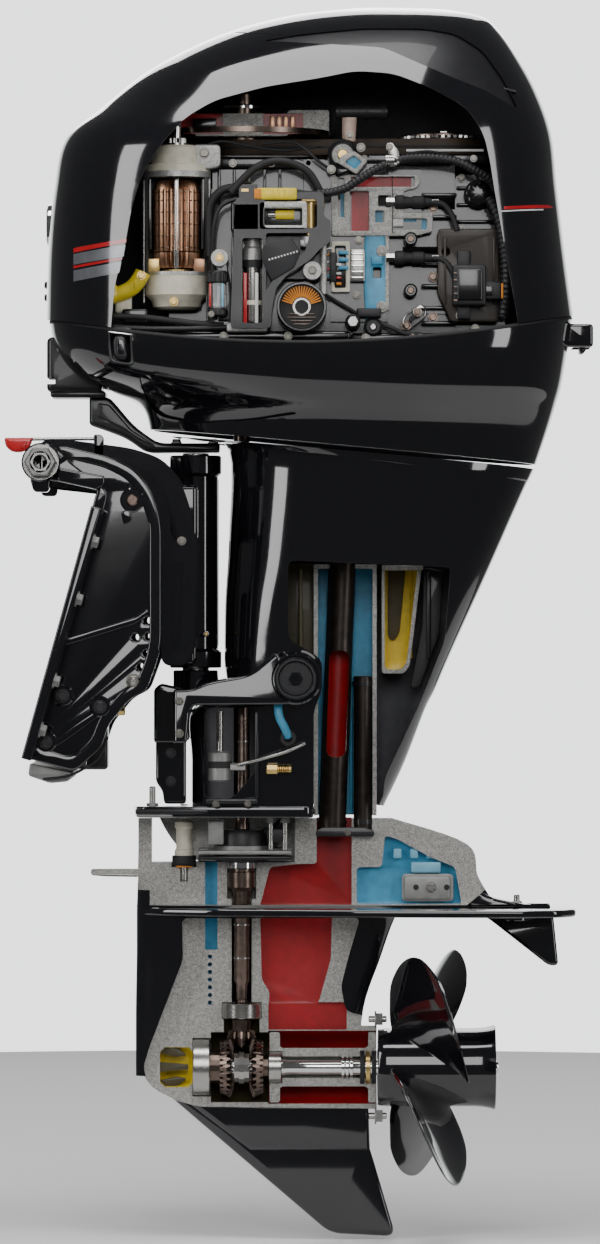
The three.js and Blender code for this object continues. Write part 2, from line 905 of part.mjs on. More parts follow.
add(
  "oil_filter",
  cut(
    join(
      rodY(FILTER.x, FILTER.z, FILTER.r, -158, -104, 32),
      rodY(FILTER.x, FILTER.z, 18, -104, -82.5, 20),
    ),
    rodY(FILTER.x, FILTER.z, FILTER.r - 2.5, -160, -120, 32).subtract(
      block(200, 280, -170, -110, FILTER.z - 50, FILTER.z + 5),
    ),
  ),
  BLACK_PLASTIC,
);
add(
  "thermostat_housing",
  cut(
    join(
      rodY(302, 396, 18, -116, -84, 28),
      prismY(outline([[286, 396], [302, 378], [330, 370], [338, 384], [318, 402]], 5), -118, -96.5),
      prismY(outline([[268, 386], [286, 378], [312, 388], [308, 412], [290, 412]], 6), -92, -84),
      block(288, 316, -92, -60, 392.6, 404),
    ),
    prismY(outline([[306, 390], [322, 392], [332, 382], [318, 374], [304, 380]], 2), -120, -104),
  ),
  BLACK_CASTING,
);
add(
  "coil_bracket",
  cut(
    prismY(outline([[402, 310], [480, 310], [488, 200], [460, 196], [416, 216], [402, 250]], 6), -104, -101),
    rodY(410, 286, 2.5, -110, -90, 10),
  ),
  BLACK_CASTING,
);
add(
  "ignition_coil",
  cut(
    join(
      prismY(outline([[420, 264], [456, 264], [460, 220], [424, 217]], 3), -138, -104.5),
      block(424, 440, -114, -104.5, 196, 276),
      block(455, 480, -130, -112, 228, 246),
    ),
    rodY(431, 273, 3, -120, -100, 10),
  ),
  BLACK_PLASTIC,
);
add(
  "relay_block",
  join(
    block(301, 318, -112, -96.5, 226, 302),
    block(277, 287, -118, -102, 234, 290),
    block(286, 302, -112, -104, 240, 246),
    block(286, 302, -112, -104, 284, 290),
  ),
  BLACK_PLASTIC,
);
add(
  "throttle_lever",
  join(
    prismY(outline([[348, 193], [357, 186], [386, 204], [386, 218], [372, 220]], 5), -92, -84),
    rodY(377, 211, 5, -86, -70.5, 12),
  ),
  BLACK_PLASTIC,
);

// ---------------------------------------------------------------- gear housing
const STRUT = [
  { front: [46, -391], rear: [350, -391], half: 68, power: 2.6 },
  { front: [46, -430], rear: [440, -422], half: 64, power: 2.4, taper: 0.3 },
  { front: [45, -470], rear: [454, -462], half: 52, power: 2.2, taper: 0.45 },
  { front: [44, -500], rear: [478, -500], half: 44, power: 2.1, taper: 0.5 },
];
const LEG = [
  { front: [44, -495], rear: [362, -495], half: 44, power: 2.1, taper: 0.4 },
  { front: [44, -520], rear: [350, -520], half: 40, power: 2.1, taper: 0.45 },
  { front: [44, -560], rear: [336, -560], half: 34, power: 2, taper: 0.4 },
  { front: [43, -620], rear: [316, -620], half: 31, power: 2, taper: 0.3 },
  { front: [43, -700], rear: [310, -700], half: 30, power: 2, taper: 0.3 },
];
const PLATE = [
  [44, 6],
  [70, 34],
  [140, 62],
  [300, 84],
  [500, 100],
  [548, 92],
  [569, 60],
  [570, 0],
];
const mirrored = (points) => [
  ...points.map(([x, y]) => [x, -y]),
  ...points
    .slice(0, -1)
    .reverse()
    .map(([x, y]) => [x, y]),
];
const TORPEDO_END = 332;
const TORPEDO_RADIUS = 50;
const torpedo = [
  [0, 50],
  [16, 56],
  [30, 72],
  [40, 98],
  [47, 140],
  [TORPEDO_RADIUS, 200],
  [TORPEDO_RADIUS, TORPEDO_END],
  [0, TORPEDO_END],
];
const UPPER_CUT = [
  [-30, -380],
  [470, -380],
  [470, -470],
  [440, -495],
  [60, -495],
  [60, -477],
  [46, -477],
  [46, -458],
  [-30, -458],
];
const LOWER_CUT = [
  [99, -510],
  [100, -560],
  [60, -664],
  [52, -690],
  [60, -713],
  [84, -728],
  [120, -737],
  [TORPEDO_END + 5, -739],
  [TORPEDO_END + 5, -634],
  [295, -622],
  [289, -592],
  [300, -550],
  [312, -510],
];
function gearHousing() {
  const skeg = prismY(outline([[43, -690], [276, -889], [355, -893], [322, -780], [310, -734]]), -4.5, 4.5);
  const skegRoot = prismY(outline([[60, -700], [180, -790], [324, -790], [322, -730]]), -9, 9);
  const fin = prismZ(outline(mirrored([[-11, 8], [4, 34], [60, 62], [120, 62]])), -460, -452);
  const aftDeck = prismY(outline([[440, -470], [470, -486], [500, -492], [545, -499],
    [440, -499]], 3), -16, 16);
  const solidBody = join(
    loft(STRUT, 26),
    loft(LEG, 20),
    turnedX(torpedo, PROP_Z, 28),
    rodX(0, PROP_Z + 58, 10, 300, TORPEDO_END, 14),
    rodX(0, PROP_Z - 58, 10, 300, TORPEDO_END, 14),
    skeg,
    skegRoot,
    fin,
    aftDeck,
    prismZ(outline(mirrored(PLATE)), PLATE_Z - 9, PLATE_Z),
  );
  const cavities = [
    // water pump well, open at the top
    block(62, 234, -1, 46, -444, -380),
    // exhaust passage, from the top down to the torpedo
    prismY(
      outline([[260, -380], [302, -380], [302, -497], [192, -497], [204, -450], [240, -446], [260, -446]], 3),
      -1,
      26,
    ),
    prismY(
      outline([[279, -490], [277, -560], [262, -614], [202, -614], [204, -600], [194, -585], [192, -490]], 3),
      -1,
      9,
    ),
    block(202, 296, -1, 8, -645, -612),
    rodX(0, PROP_Z, 43.8, 202, TORPEDO_END + 5, 28),
    // aft water chamber with the anode's recess
    // sockets of the exhaust and water tubes
    rodZ(278, 6, 17.5, -413, -380, 20),
    rodZ(WATER_TUBE.x, WATER_TUBE.y, 12.4, -410, -380, 24),
    prismY(outline([[342, -412], [356, -416], [396, -438], [426, -450], [434, -494], [308, -494],
      [308, -450], [338, -450]], 3), -1, 10.5),
    // water pickup channel and its inlet holes
    block(126, 141, -1, 10, -549, -443),
    ...[-560, -570, -580, -590, -600].map((z) => rodY(132, z, 3, -1, 12, 8)),
    // drive shaft bore and bearing seats
    rodZ(CRANK_X, 0, 17.5, -488, -440, 20),
    rodZ(CRANK_X, 0, 12, -620, -480, 20),
    rodZ(CRANK_X, 0, 24, -632, -612, 24),
    rodZ(CRANK_X, 0, 21.5, -666, -631, 24),
    // gear space, front bearing seat and oil space in the nose
    rodX(0, PROP_Z, 42, 133, 203, 28),
    rodX(0, PROP_Z, 35, 111, 134, 24),
    rodX(0, PROP_Z, 24, 72, 112, 18),
    // shift shaft seat
    rodZ(101, 0, 15, -450, -443, 16),
    rodZ(101, 0, 4.5, -468, -449, 10),
    rodZ(500, 0, 5, -500 - 20, -480, 12),
  ];
  return cut(
    solidBody,
    prismY(outline(UPPER_CUT), -120, 0),
    prismY(outline(LOWER_CUT, 6), -80, 0),
    ...cavities,
  );
}
add("gear_housing", gearHousing(), BLACK_PAINT);
add(
  "side_anode",
  prismY(outline([[360, -460], [420, -458], [424, -490], [362, -491]], 3), 1, 9),
  ZINC,
);
add(
  "trim_tab",
  join(
    prismY(outline([[462, -508.5], [544, -508.5], [550, -568], [538, -568]], 2), -5, 5),
    rodZ(500, 0, 18, -514, -508, 20),
    rodZ(500, 0, 4, -510, -484, 12),
  ),
  ZINC,
);
add(
  "water_pump_housing",
  cut(
    join(
      block(118, 230, 2, 44, -443, -428),
      rodZ(CRANK_X, 0, 32, -443, -404, 28),
    ),
    rodZ(CRANK_X, 0, 27, -440, -412, 24),
    rodZ(CRANK_X, 0, 12, -450, -400, 20),
  ),
  BLACK_PLASTIC,
);
const IMPELLER_BLADES = 6;
add(
  "pump_impeller",
  cut(
    join(
      rodZ(CRANK_X, 0, 15, -436, -416, 20),
      ...Array.from({ length: IMPELLER_BLADES }, (_, i) => {
        const a = (2 * Math.PI * i) / IMPELLER_BLADES;
        const at = (r) => [CRANK_X + r * Math.cos(a), r * Math.sin(a)];
        return rodBetween([...at(12), -426], [...at(22), -426], 2.4, 8);
      }),
    ),
    rodZ(CRANK_X, 0, 10.2, -450, -400, 20),
  ),
  RUBBER,
);
add(
  "drive_shaft",
  turnedZ(
    [
      [0, -648],
      [7, -648],
      [7, -592],
      [9.6, -588],
      [9.6, 109],
      [0, 109],
    ],
    CRANK_X,
    0,
    20,
  ),
  DARK_STEEL,
);
const ring = (place, r, bore, from, to) =>
  cut(
    place === "z" ? rodZ(CRANK_X, 0, r, from, to, 28) : rodX(0, PROP_Z, r, from, to, 28),
    place === "z"
      ? rodZ(CRANK_X, 0, bore, from - 1, to + 1, 24)
      : rodX(0, PROP_Z, bore, from - 1, to + 1, 24),
  );
add("pinion_bearing", ring("z", 23.4, 10.5, -631, -613), STEEL);
add("forward_gear_bearing", ring("x", 33.6, 20.6, 112, 132), STEEL);
add("reverse_gear_bearing", ring("x", 19.2, 13.6, 202, 218), STEEL);
add(
  "bearing_carrier",
  cut(
    join(
      rodX(0, PROP_Z, 42.2, 203.5, 216, 28),
      rodX(0, PROP_Z, 23, 215, 331, 24),
      rodX(0, PROP_Z, 42.2, 322, 331, 28),
    ),
    rodX(0, PROP_Z, 19.8, 200, 219, 24),
    rodX(0, PROP_Z, 11.5, 210, 340, 20),
    rodX(0, PROP_Z, 14.5, 314, 340, 20),
    ...[70, 20, -30, -80, 125, 175].map((deg) => {
      const a = THREE.MathUtils.degToRad(deg);
      return rodX(33 * Math.cos(a), PROP_Z + 33 * Math.sin(a), 7.5, 318, 340, 10);
    }),
    block(190, 340, -60, 0, PROP_Z - 60, PROP_Z + 60),
  ),
  ALUMINIUM,
);

// ---------------------------------------------------------------- bevel gears and clutch
// Teeth stand on the pitch cone and shrink towards its apex, which is at the origin.
const BACKING = 8; // metal behind the teeth
function bevelGear(teeth, radius, mateRadius) {
  const cone = Math.hypot(radius, mateRadius);
  const [outward, inward] = [mateRadius / cone, radius / cone];
  const module_ = (2 * radius) / teeth;
  const [tip, base] = [0.8 * module_, 1.05 * module_];
  const faceShare = 0.3;
  const ringOf = (scale) => {
    const points = [];
    for (let k = 0; k < teeth; k++) {
      const corner = (height, share) => {
        const r = (radius + height * outward) * scale;
        const a = (2 * Math.PI * (k + share)) / teeth;
        const h = (mateRadius - height * inward) * scale;
        points.push(new THREE.Vector3(r * Math.cos(a), r * Math.sin(a), h));
      };
      corner(-base, -0.27);
      corner(tip, -0.11);
      corner(tip, 0.11);
      corner(-base, 0.27);
    }
    return points;
  };
  const back = ringOf(1).map((p) => new THREE.Vector3(p.x * 0.9, p.y * 0.9, p.z + BACKING));
  return skin([back, ringOf(1), ringOf(1 - faceShare)]);
}
const placeGear = (made, x, y, z, turn) => {
  const basis = new THREE.Matrix4().makeBasis(x, y, z);
  const mesh = made.getMesh();
  const g = new THREE.BufferGeometry();
  g.setAttribute("position", new THREE.BufferAttribute(mesh.vertProperties, 3));
  g.setIndex(new THREE.BufferAttribute(mesh.triVerts, 1));
  g.rotateZ(turn).applyMatrix4(basis).translate(CRANK_X, 0, PROP_Z);
  return solid(g);
};
const [AX, AY, AZ] = [[1, 0, 0], [0, 1, 0], [0, 0, 1]].map((v) => new THREE.Vector3(...v));
const halfTooth = Math.PI / GEAR_TEETH;
const bigGear = bevelGear(GEAR_TEETH, GEAR_RADIUS, PINION_RADIUS);
const HUB_FACE = 13.5; // distance from the apex to a gear's hub
function driveGear(sign) {
  const made =
    sign < 0
      ? placeGear(bigGear, AY.clone().negate(), AZ, AX.clone().negate(), halfTooth)
      : placeGear(bigGear, AY, AZ, AX, halfTooth);
  const x = (d) => CRANK_X + sign * d;
  const bar = (r, from, to) => rodX(0, PROP_Z, r, Math.min(x(from), x(to)), Math.max(x(from), x(to)), 28);
  const hub = sign < 0 ? bar(19.6, HUB_FACE, 57) : bar(13, HUB_FACE, 47);
  return cut(join(made, hub), bar(10.4, -5, 70), bar(22.6, -5, HUB_FACE));
}
add("forward_gear", driveGear(-1), DARK_STEEL);
add("reverse_gear", driveGear(1), DARK_STEEL);
add(
  "pinion_gear",
  cut(
    join(
      placeGear(bevelGear(PINION_TEETH, PINION_RADIUS, GEAR_RADIUS), AX, AY, AZ, 0),
      rodZ(CRANK_X, 0, 12.5, PROP_Z + 39, PROP_Z + 57, 20),
    ),
    rodZ(CRANK_X, 0, 7.4, PROP_Z, -600, 20),
  ),
  DARK_STEEL,
);
add(
  "clutch_dog",
  cut(
    join(
      rodX(0, PROP_Z, 19, CRANK_X - 9, CRANK_X + 9, 24),
      rodX(0, PROP_Z, 21, CRANK_X - 3, CRANK_X + 3, 24),
    ),
    rodX(0, PROP_Z, 10.4, CRANK_X - 20, CRANK_X + 20, 20),
  ),
  STEEL,
);
add(
  "shift_shaft",
  turnedZ(
    [
      [0, -466],
      [3.5, -466],
      [3.5, -449],
      [12.5, -449],
      [12.5, -440],
      [8.5, -438],
      [10.2, -420],
      [9, -394],
      [4, -394],
      [4, -374.5],
      [0, -374.5],
    ],
    101,
    0,
    16,
  ),
  NYLON,
);

// ---------------------------------------------------------------- propeller
const PROP_X = 385; // middle of the blades along the shaft
const HUB = { front: 333, rear: 474, r: 47 };
const SHAFT_RADIUS = 9.6;
add(
  "prop_shaft",
  turnedX(
    [
      [0, 112],
      [SHAFT_RADIUS, 114],
      [SHAFT_RADIUS, 450],
      [7, 451.5],
      [7, 478],
      [0, 478],
    ],
    PROP_Z,
    20,
  ),
  STEEL,
);
// One blade as a closed skin: chords on growing radii, wrapped on a helix about the shaft.
function blade(angle) {
  const PITCH = 330;
  const chords = [
    { r: 40, half: 34, rake: 0, thick: 5 },
    { r: 68, half: 42, rake: 4, thick: 3.6 },
    { r: 98, half: 45, rake: 9, thick: 2.8 },
    { r: 126, half: 38, rake: 15, thick: 2 },
    { r: 146, half: 22, rake: 19, thick: 1.5 },
    { r: 154, half: 8, rake: 22, thick: 1.1 },
  ];
  const steps = 4;
  const rings = chords.map(({ r, half, rake, thick }) => {
    const points = [];
    const place = (t, side) => {
      const a = THREE.MathUtils.degToRad(half * t);
      const bulge = thick * (1 - t * t) ** 0.5 + 0.6;
      const x = PROP_X + (PITCH * a) / (2 * Math.PI) + rake + side * bulge;
      const turn = angle + a;
      points.push(new THREE.Vector3(x, -r * Math.cos(turn), PROP_Z - r * Math.sin(turn)));
    };
    for (let i = 0; i <= steps; i++) place((2 * i) / steps - 1, 1);
    for (let i = steps; i >= 0; i--) place((2 * i) / steps - 1, -1);
    return points;
  });
  return skin(rings);
}
const BLADES = 4;
add(
  "propeller",
  cut(
    join(
      turnedX(
        [
          [0, HUB.front],
          [HUB.r - 2, HUB.front],
          [HUB.r, HUB.front + 12],
          [HUB.r, HUB.rear - 20],
          [HUB.r + 4, HUB.rear],
          [0, HUB.rear],
        ],
        PROP_Z,
        32,
      ),
      ...Array.from({ length: BLADES }, (_, i) =>
        blade(THREE.MathUtils.degToRad(-42) + (2 * Math.PI * i) / BLADES),
      ),
    ),
    rodX(0, PROP_Z, HUB.r - 5, 452, 480, 28),
    rodX(0, PROP_Z, HUB.r - 5, 320, 352, 28),
    rodX(0, PROP_Z, SHAFT_RADIUS + 0.6, 300, 480, 20),
    ...Array.from({ length: 3 }, (_, i) => {
      const a = (2 * Math.PI * i) / 3 + 0.5;
      return rodX(30 * Math.cos(a), PROP_Z + 30 * Math.sin(a), 9, 340, 460, 12);
    }),
  ),
  BLACK_PAINT,
);
add(
  "prop_nut",
  cut(
    join(rodX(0, PROP_Z, 14, 454, 466, 6), rodX(0, PROP_Z, 17, 452.6, 455, 24)),
    rodX(0, PROP_Z, 7.5, 440, 480, 16),
  ),
  STEEL,
);

export default root;
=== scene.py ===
import bpy
import bmesh
import math
from mathutils import Matrix, Vector


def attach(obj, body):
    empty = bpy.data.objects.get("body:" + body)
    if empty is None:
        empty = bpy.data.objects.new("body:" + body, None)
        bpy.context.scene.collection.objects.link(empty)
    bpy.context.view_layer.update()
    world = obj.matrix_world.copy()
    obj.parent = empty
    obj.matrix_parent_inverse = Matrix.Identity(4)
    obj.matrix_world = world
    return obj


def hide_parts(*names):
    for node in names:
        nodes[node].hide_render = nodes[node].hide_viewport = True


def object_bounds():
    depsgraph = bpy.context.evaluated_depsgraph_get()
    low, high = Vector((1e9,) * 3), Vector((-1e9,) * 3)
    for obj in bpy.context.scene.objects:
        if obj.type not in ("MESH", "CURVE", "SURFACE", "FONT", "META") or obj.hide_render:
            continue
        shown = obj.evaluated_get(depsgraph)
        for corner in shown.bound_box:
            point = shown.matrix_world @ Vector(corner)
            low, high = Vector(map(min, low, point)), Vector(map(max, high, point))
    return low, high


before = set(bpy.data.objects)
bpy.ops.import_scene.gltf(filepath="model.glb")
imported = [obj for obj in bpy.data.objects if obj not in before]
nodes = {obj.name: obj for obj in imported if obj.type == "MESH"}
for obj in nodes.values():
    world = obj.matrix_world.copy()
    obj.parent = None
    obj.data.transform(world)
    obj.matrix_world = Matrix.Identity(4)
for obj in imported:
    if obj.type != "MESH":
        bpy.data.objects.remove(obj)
cad_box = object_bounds()
scene = bpy.context.scene
MM = 0.001

# ------------------------------------------------------------------ camera, light, floor
LENS = 193  # long, so the side view is nearly flat
CAMERA_AT = (0.240, -8.0, -0.156)
BACKDROP_EDGES = (0.86, 0.985)  # how far aft a direction points where the pale backdrop starts and is full
ROOM_LEVEL, BACKDROP_LEVEL = 0.09, 2.4
FLOOR_CENTRE = (0.2, 1.45)
FLOOR_RADIUS = 2.1
FLOOR_DROP = 0.004  # the floor's distance below the object
FLOOR_SIDES = 96

cam = bpy.data.objects.new("camera", bpy.data.cameras.new("camera"))
scene.collection.objects.link(cam)
scene.camera = cam
cam.data.sensor_width = 36
cam.data.lens = LENS
cam.location = CAMERA_AT
cam.rotation_euler = (math.pi / 2, 0, 0)
cam.data.clip_start, cam.data.clip_end = 0.1, 100


def softbox(name, place, aim, wide, high, power):
    """An area lamp at a place, turned toward a point."""
    light = bpy.data.lights.new(name, "AREA")
    light.shape = "RECTANGLE"
    light.size, light.size_y = wide, high
    light.energy = power
    made = bpy.data.objects.new(name, light)
    scene.collection.objects.link(made)
    made.location = place
    made.rotation_euler = (Vector(aim) - Vector(place)).to_track_quat("-Z", "Y").to_euler()
    return made


softbox("light_top", (0.1, -1.2, 3.4), (0.25, 0, 0.1), 2.6, 1.6, 95)
softbox("light_left", (-2.8, -2.6, 1.0), (0.2, 0, -0.1), 0.9, 3.2, 60)
softbox("light_right", (3.0, -2.2, 0.7), (0.25, 0, -0.1), 0.7, 3.0, 38)
softbox("light_front", (0.4, -5.5, 1.6), (0.24, 0, -0.2), 2.4, 2.4, 90)
softbox("light_back", (0.2, 3.5, 2.2), (0.2, 0, 0), 2.6, 2.0, 60)
world = bpy.data.worlds.new("studio")
scene.world = world
world.use_nodes = True
sky = world.node_tree
look = sky.nodes.new("ShaderNodeTexCoord")
split = sky.nodes.new("ShaderNodeSeparateXYZ")
sky.links.new(look.outputs["Generated"], split.inputs["Vector"])
level = sky.nodes.new("ShaderNodeMapRange")
level.inputs["From Min"].default_value, level.inputs["From Max"].default_value = BACKDROP_EDGES
level.inputs["To Min"].default_value = ROOM_LEVEL
level.inputs["To Max"].default_value = BACKDROP_LEVEL
sky.links.new(split.outputs["Y"], level.inputs["Value"])
sky.nodes["Background"].inputs[0].default_value = (0.95, 0.96, 0.97, 1)
sky.links.new(level.outputs["Result"], sky.nodes["Background"].inputs[1])

# ------------------------------------------------------------------ materials
RELIEF_DEPTH = 0.0002


def material(name, color, rough=0.5, metal=0.0, coat=0.0, scale=90, spread=0.12,
             rough_spread=0.08, bump=0.15, bump_scale=900, clear=0.0, speckle=None):
    """A painted, cast, moulded or turned surface: colour, gloss and fine relief all vary."""
    m = bpy.data.materials.new(name)
    m.use_nodes = True
    tree = m.node_tree
    shader = tree.nodes["Principled BSDF"]
    shader.inputs["Metallic"].default_value = metal
    shader.inputs["Coat Weight"].default_value = coat
    shader.inputs["Coat Roughness"].default_value = 0.04
    shader.inputs["IOR"].default_value = 1.45
    shader.inputs["Transmission Weight"].default_value = clear
    where = tree.nodes.new("ShaderNodeTexCoord")
    at = where.outputs["Object"]

    def noise(size, detail=4.0):
        made = tree.nodes.new("ShaderNodeTexNoise")
        made.inputs["Scale"].default_value = size
        made.inputs["Detail"].default_value = detail
        tree.links.new(at, made.inputs["Vector"])
        return made.outputs["Fac"]

    ramp = tree.nodes.new("ShaderNodeValToRGB")
    ramp.color_ramp.elements[0].position = 0.3
    ramp.color_ramp.elements[1].position = 0.7
    ramp.color_ramp.elements[0].color = [c * (1 - spread) for c in color] + [1]
    ramp.color_ramp.elements[1].color = [min(1, c * (1 + spread)) for c in color] + [1]
    tree.links.new(noise(scale), ramp.inputs["Fac"])
    shade = ramp.outputs["Color"]
    if speckle:
        dots = tree.nodes.new("ShaderNodeTexVoronoi")
        dots.inputs["Scale"].default_value = speckle[0]
        tree.links.new(at, dots.inputs["Vector"])
        grains = tree.nodes.new("ShaderNodeValToRGB")
        grains.color_ramp.elements[0].position = 0.25
        grains.color_ramp.elements[0].color = [*speckle[1], 1]
        grains.color_ramp.elements[1].position = 0.75
        grains.color_ramp.elements[1].color = (1, 1, 1, 1)
        tree.links.new(dots.outputs["Color"], grains.inputs["Fac"])
        mixed = tree.nodes.new("ShaderNodeMix")
        mixed.data_type = "RGBA"
        mixed.blend_type = "MULTIPLY"
        mixed.inputs["Factor"].default_value = 0.8
        tree.links.new(shade, mixed.inputs[6])
        tree.links.new(grains.outputs["Color"], mixed.inputs[7])
        shade = mixed.outputs[2]
    tree.links.new(shade, shader.inputs["Base Color"])
    dull = tree.nodes.new("ShaderNodeMapRange")
    dull.inputs["To Min"].default_value = max(0.02, rough - rough_spread)
    dull.inputs["To Max"].default_value = min(1, rough + rough_spread)
    tree.links.new(noise(scale * 0.4), dull.inputs["Value"])
    tree.links.new(dull.outputs["Result"], shader.inputs["Roughness"])
    if bump:
        relief = tree.nodes.new("ShaderNodeBump")
        relief.inputs["Strength"].default_value = bump
        relief.inputs["Distance"].default_value = RELIEF_DEPTH
        tree.links.new(noise(bump_scale, 2.0), relief.inputs["Height"])
        tree.links.new(relief.outputs["Normal"], shader.inputs["Normal"])
    return m


GLOSS = material(
    "gloss_black_paint", (0.006, 0.006, 0.008), 0.09, 0, 1.0, bump=0.03, bump_scale=500,
    rough_spread=0.03)
SATIN = material(
    "satin_black_casting", (0.012, 0.012, 0.014), 0.36, 0, 0.25, bump=0.35,
    bump_scale=1400)
PLASTIC = material("black_plastic", (0.014, 0.014, 0.016), 0.42, 0, 0, bump=0.25)
RUBBER = material("black_rubber", (0.016, 0.016, 0.017), 0.62, 0, 0, bump=0.3)
LINER = material("grey_liner", (0.10, 0.10, 0.11), 0.6, 0, 0)
CUT = material(
    "cut_casting", (0.52, 0.51, 0.48), 0.5, 0.3, 0, scale=220, spread=0.2, bump=0.6,
    bump_scale=2600, speckle=(1500, (0.25, 0.25, 0.26)))
CAST = material(
    "bare_casting", (0.58, 0.575, 0.55), 0.42, 0.6, 0, scale=120, bump=0.6, bump_scale=1800,
    speckle=(1100, (0.45, 0.45, 0.46)))
RED = material("red_paint", (0.34, 0.006, 0.010), 0.42, 0, 0.2, bump=0.5, bump_scale=1300)
BLUE = material("blue_paint", (0.06, 0.30, 0.48), 0.45, 0, 0.15, bump=0.5, bump_scale=1300)
PALE_BLUE = material("pale_blue_paint", (0.20, 0.48, 0.64), 0.45, 0, 0.15, bump=0.5)
YELLOW = material("yellow_paint", (0.78, 0.60, 0.03), 0.42, 0, 0.2, bump=0.4)
OLIVE = material("olive_paint", (0.06, 0.05, 0.022), 0.5, 0, 0.1, bump=0.4)
STEEL = material("bright_steel", (0.42, 0.41, 0.39), 0.26, 1, 0, spread=0.06, bump=0.08)
BOLT = material("plated_bolt", (0.20, 0.19, 0.17), 0.34, 0.9, 0, spread=0.15, bump=0.2)
BLOCK = material(
    "engine_enamel", (0.006, 0.006, 0.007), 0.2, 0, 0.6, bump=0.35, bump_scale=600)
CHROME = material("chrome", (0.75, 0.75, 0.74), 0.1, 1, 0, spread=0.04, bump=0.03)
DARK_STEEL = material(
    "heat_dark_steel", (0.16, 0.12, 0.10), 0.28, 1, 0, spread=0.3, bump=0.15)
BURNT = material("burnt_tube", (0.035, 0.028, 0.024), 0.35, 0.7, 0, spread=0.3)
ZINC = material("zinc_anode", (0.30, 0.30, 0.29), 0.5, 0.7, 0, bump=0.5, bump_scale=700)
BRASS = material("brass", (0.60, 0.42, 0.16), 0.3, 1, 0, spread=0.1)
COPPER = material("copper_winding", (0.38, 0.21, 0.13), 0.32, 1, 0, spread=0.2)
CREAM = material("cream_plastic", (0.72, 0.68, 0.55), 0.5, 0, 0)
ORANGE = material("orange_paper", (0.70, 0.25, 0.03), 0.7, 0, 0)
BELT = material("brown_rubber", (0.055, 0.035, 0.022), 0.6, 0, 0)
TAG_RED = material("red_grip", (0.50, 0.012, 0.015), 0.3, 0, 0.5)
GREY_DECAL = material("grey_decal", (0.16, 0.165, 0.18), 0.2, 0.3, 0.8, bump=0.02)
RED_DECAL = material("red_decal", (0.46, 0.01, 0.015), 0.15, 0, 0.9, bump=0.02)
WHITE = material("white_paint", (0.75, 0.75, 0.74), 0.35, 0, 0.2)
GLASS = material("clear_bowl", (0.85, 0.88, 0.90), 0.08, 0, 0, clear=0.85, bump=0.02)
COIL_BROWN = material("brown_plastic", (0.030, 0.022, 0.016), 0.4, 0, 0.1, bump=0.25)


# ------------------------------------------------------------------ mesh making, in millimetres
def object_of(name, verts, faces, mat, body, crease=32):
    """A mesh object from vertices in millimetres, with its faces turned outward."""
    mesh = bpy.data.meshes.new(name)
    mesh.from_pydata([Vector(v) * MM for v in verts], [], faces)
    made = bpy.data.objects.new(name, mesh)
    scene.collection.objects.link(made)
    work = bmesh.new()
    work.from_mesh(mesh)
    bmesh.ops.remove_doubles(work, verts=work.verts, dist=1e-6)
    bmesh.ops.recalc_face_normals(work, faces=work.faces)
    work.to_mesh(mesh)
    work.free()
    return dress(made, mat, body, crease)


def dress(made, mat, body, crease=32):
    """Gives an object its material and its body, and softens its shading."""
    made.data.materials.clear()
    made.data.materials.append(mat)
    soften(made, crease)
    if body:
        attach(made, body)
    return made


def soften(made, crease=32):
    """Smooth shading that keeps the edges sharper than the crease angle."""
    made.data.polygons.foreach_set("use_smooth", [True] * len(made.data.polygons))
    made.data.set_sharp_from_angle(angle=math.radians(crease))


def bake(made):
    """Applies an object's modifiers to its mesh."""
    graph = bpy.context.evaluated_depsgraph_get()
    mesh = bpy.data.meshes.new_from_object(made.evaluated_get(graph), depsgraph=graph)
    made.modifiers.clear()
    made.data = mesh
    return made


def carve(made, *tools, how="DIFFERENCE", crease=32):
    """Cuts tools out of a piece, or joins them to it; new faces keep the tool's material."""
    for tool in tools:
        step = made.modifiers.new("carve", "BOOLEAN")
        step.object = tool
        step.operation = how
        step.solver = "MANIFOLD"
        step.material_mode = "TRANSFER"
    bpy.context.view_layer.update()
    bake(made)
    for tool in tools:
        bpy.data.objects.remove(tool)
    soften(made, crease)
    return made


def rounded(points, radius, steps=5):
    """A closed outline with its corners rounded; a point's third number is its own radius."""
    smooth = []
    for i, p in enumerate(points):
        reach = p[2] if len(p) > 2 else radius
        corner = Vector(p[:2])
        if not reach:
            smooth.append(corner)
            continue
        ends = []
        for other in (points[i - 1], points[(i + 1) % len(points)]):
            side = Vector(other[:2]) - corner
            ends.append(corner + side * min(reach / side.length, 0.48))
        for k in range(steps + 1):
            t = k / steps
            smooth.append((1 - t) ** 2 * ends[0] + 2 * t * (1 - t) * corner + t * t * ends[1])
    return smooth


def circle(x, z, r, n=32):
    """The points of a circle."""
    return [Vector((x + r * math.cos(2 * math.pi * k / n), z + r * math.sin(2 * math.pi * k / n)))
            for k in range(n)]


def area(points):
    """Twice the signed area of a closed outline."""
    return sum(a.x * b.y - b.x * a.y for a, b in zip(points, points[1:] + points[:1]))


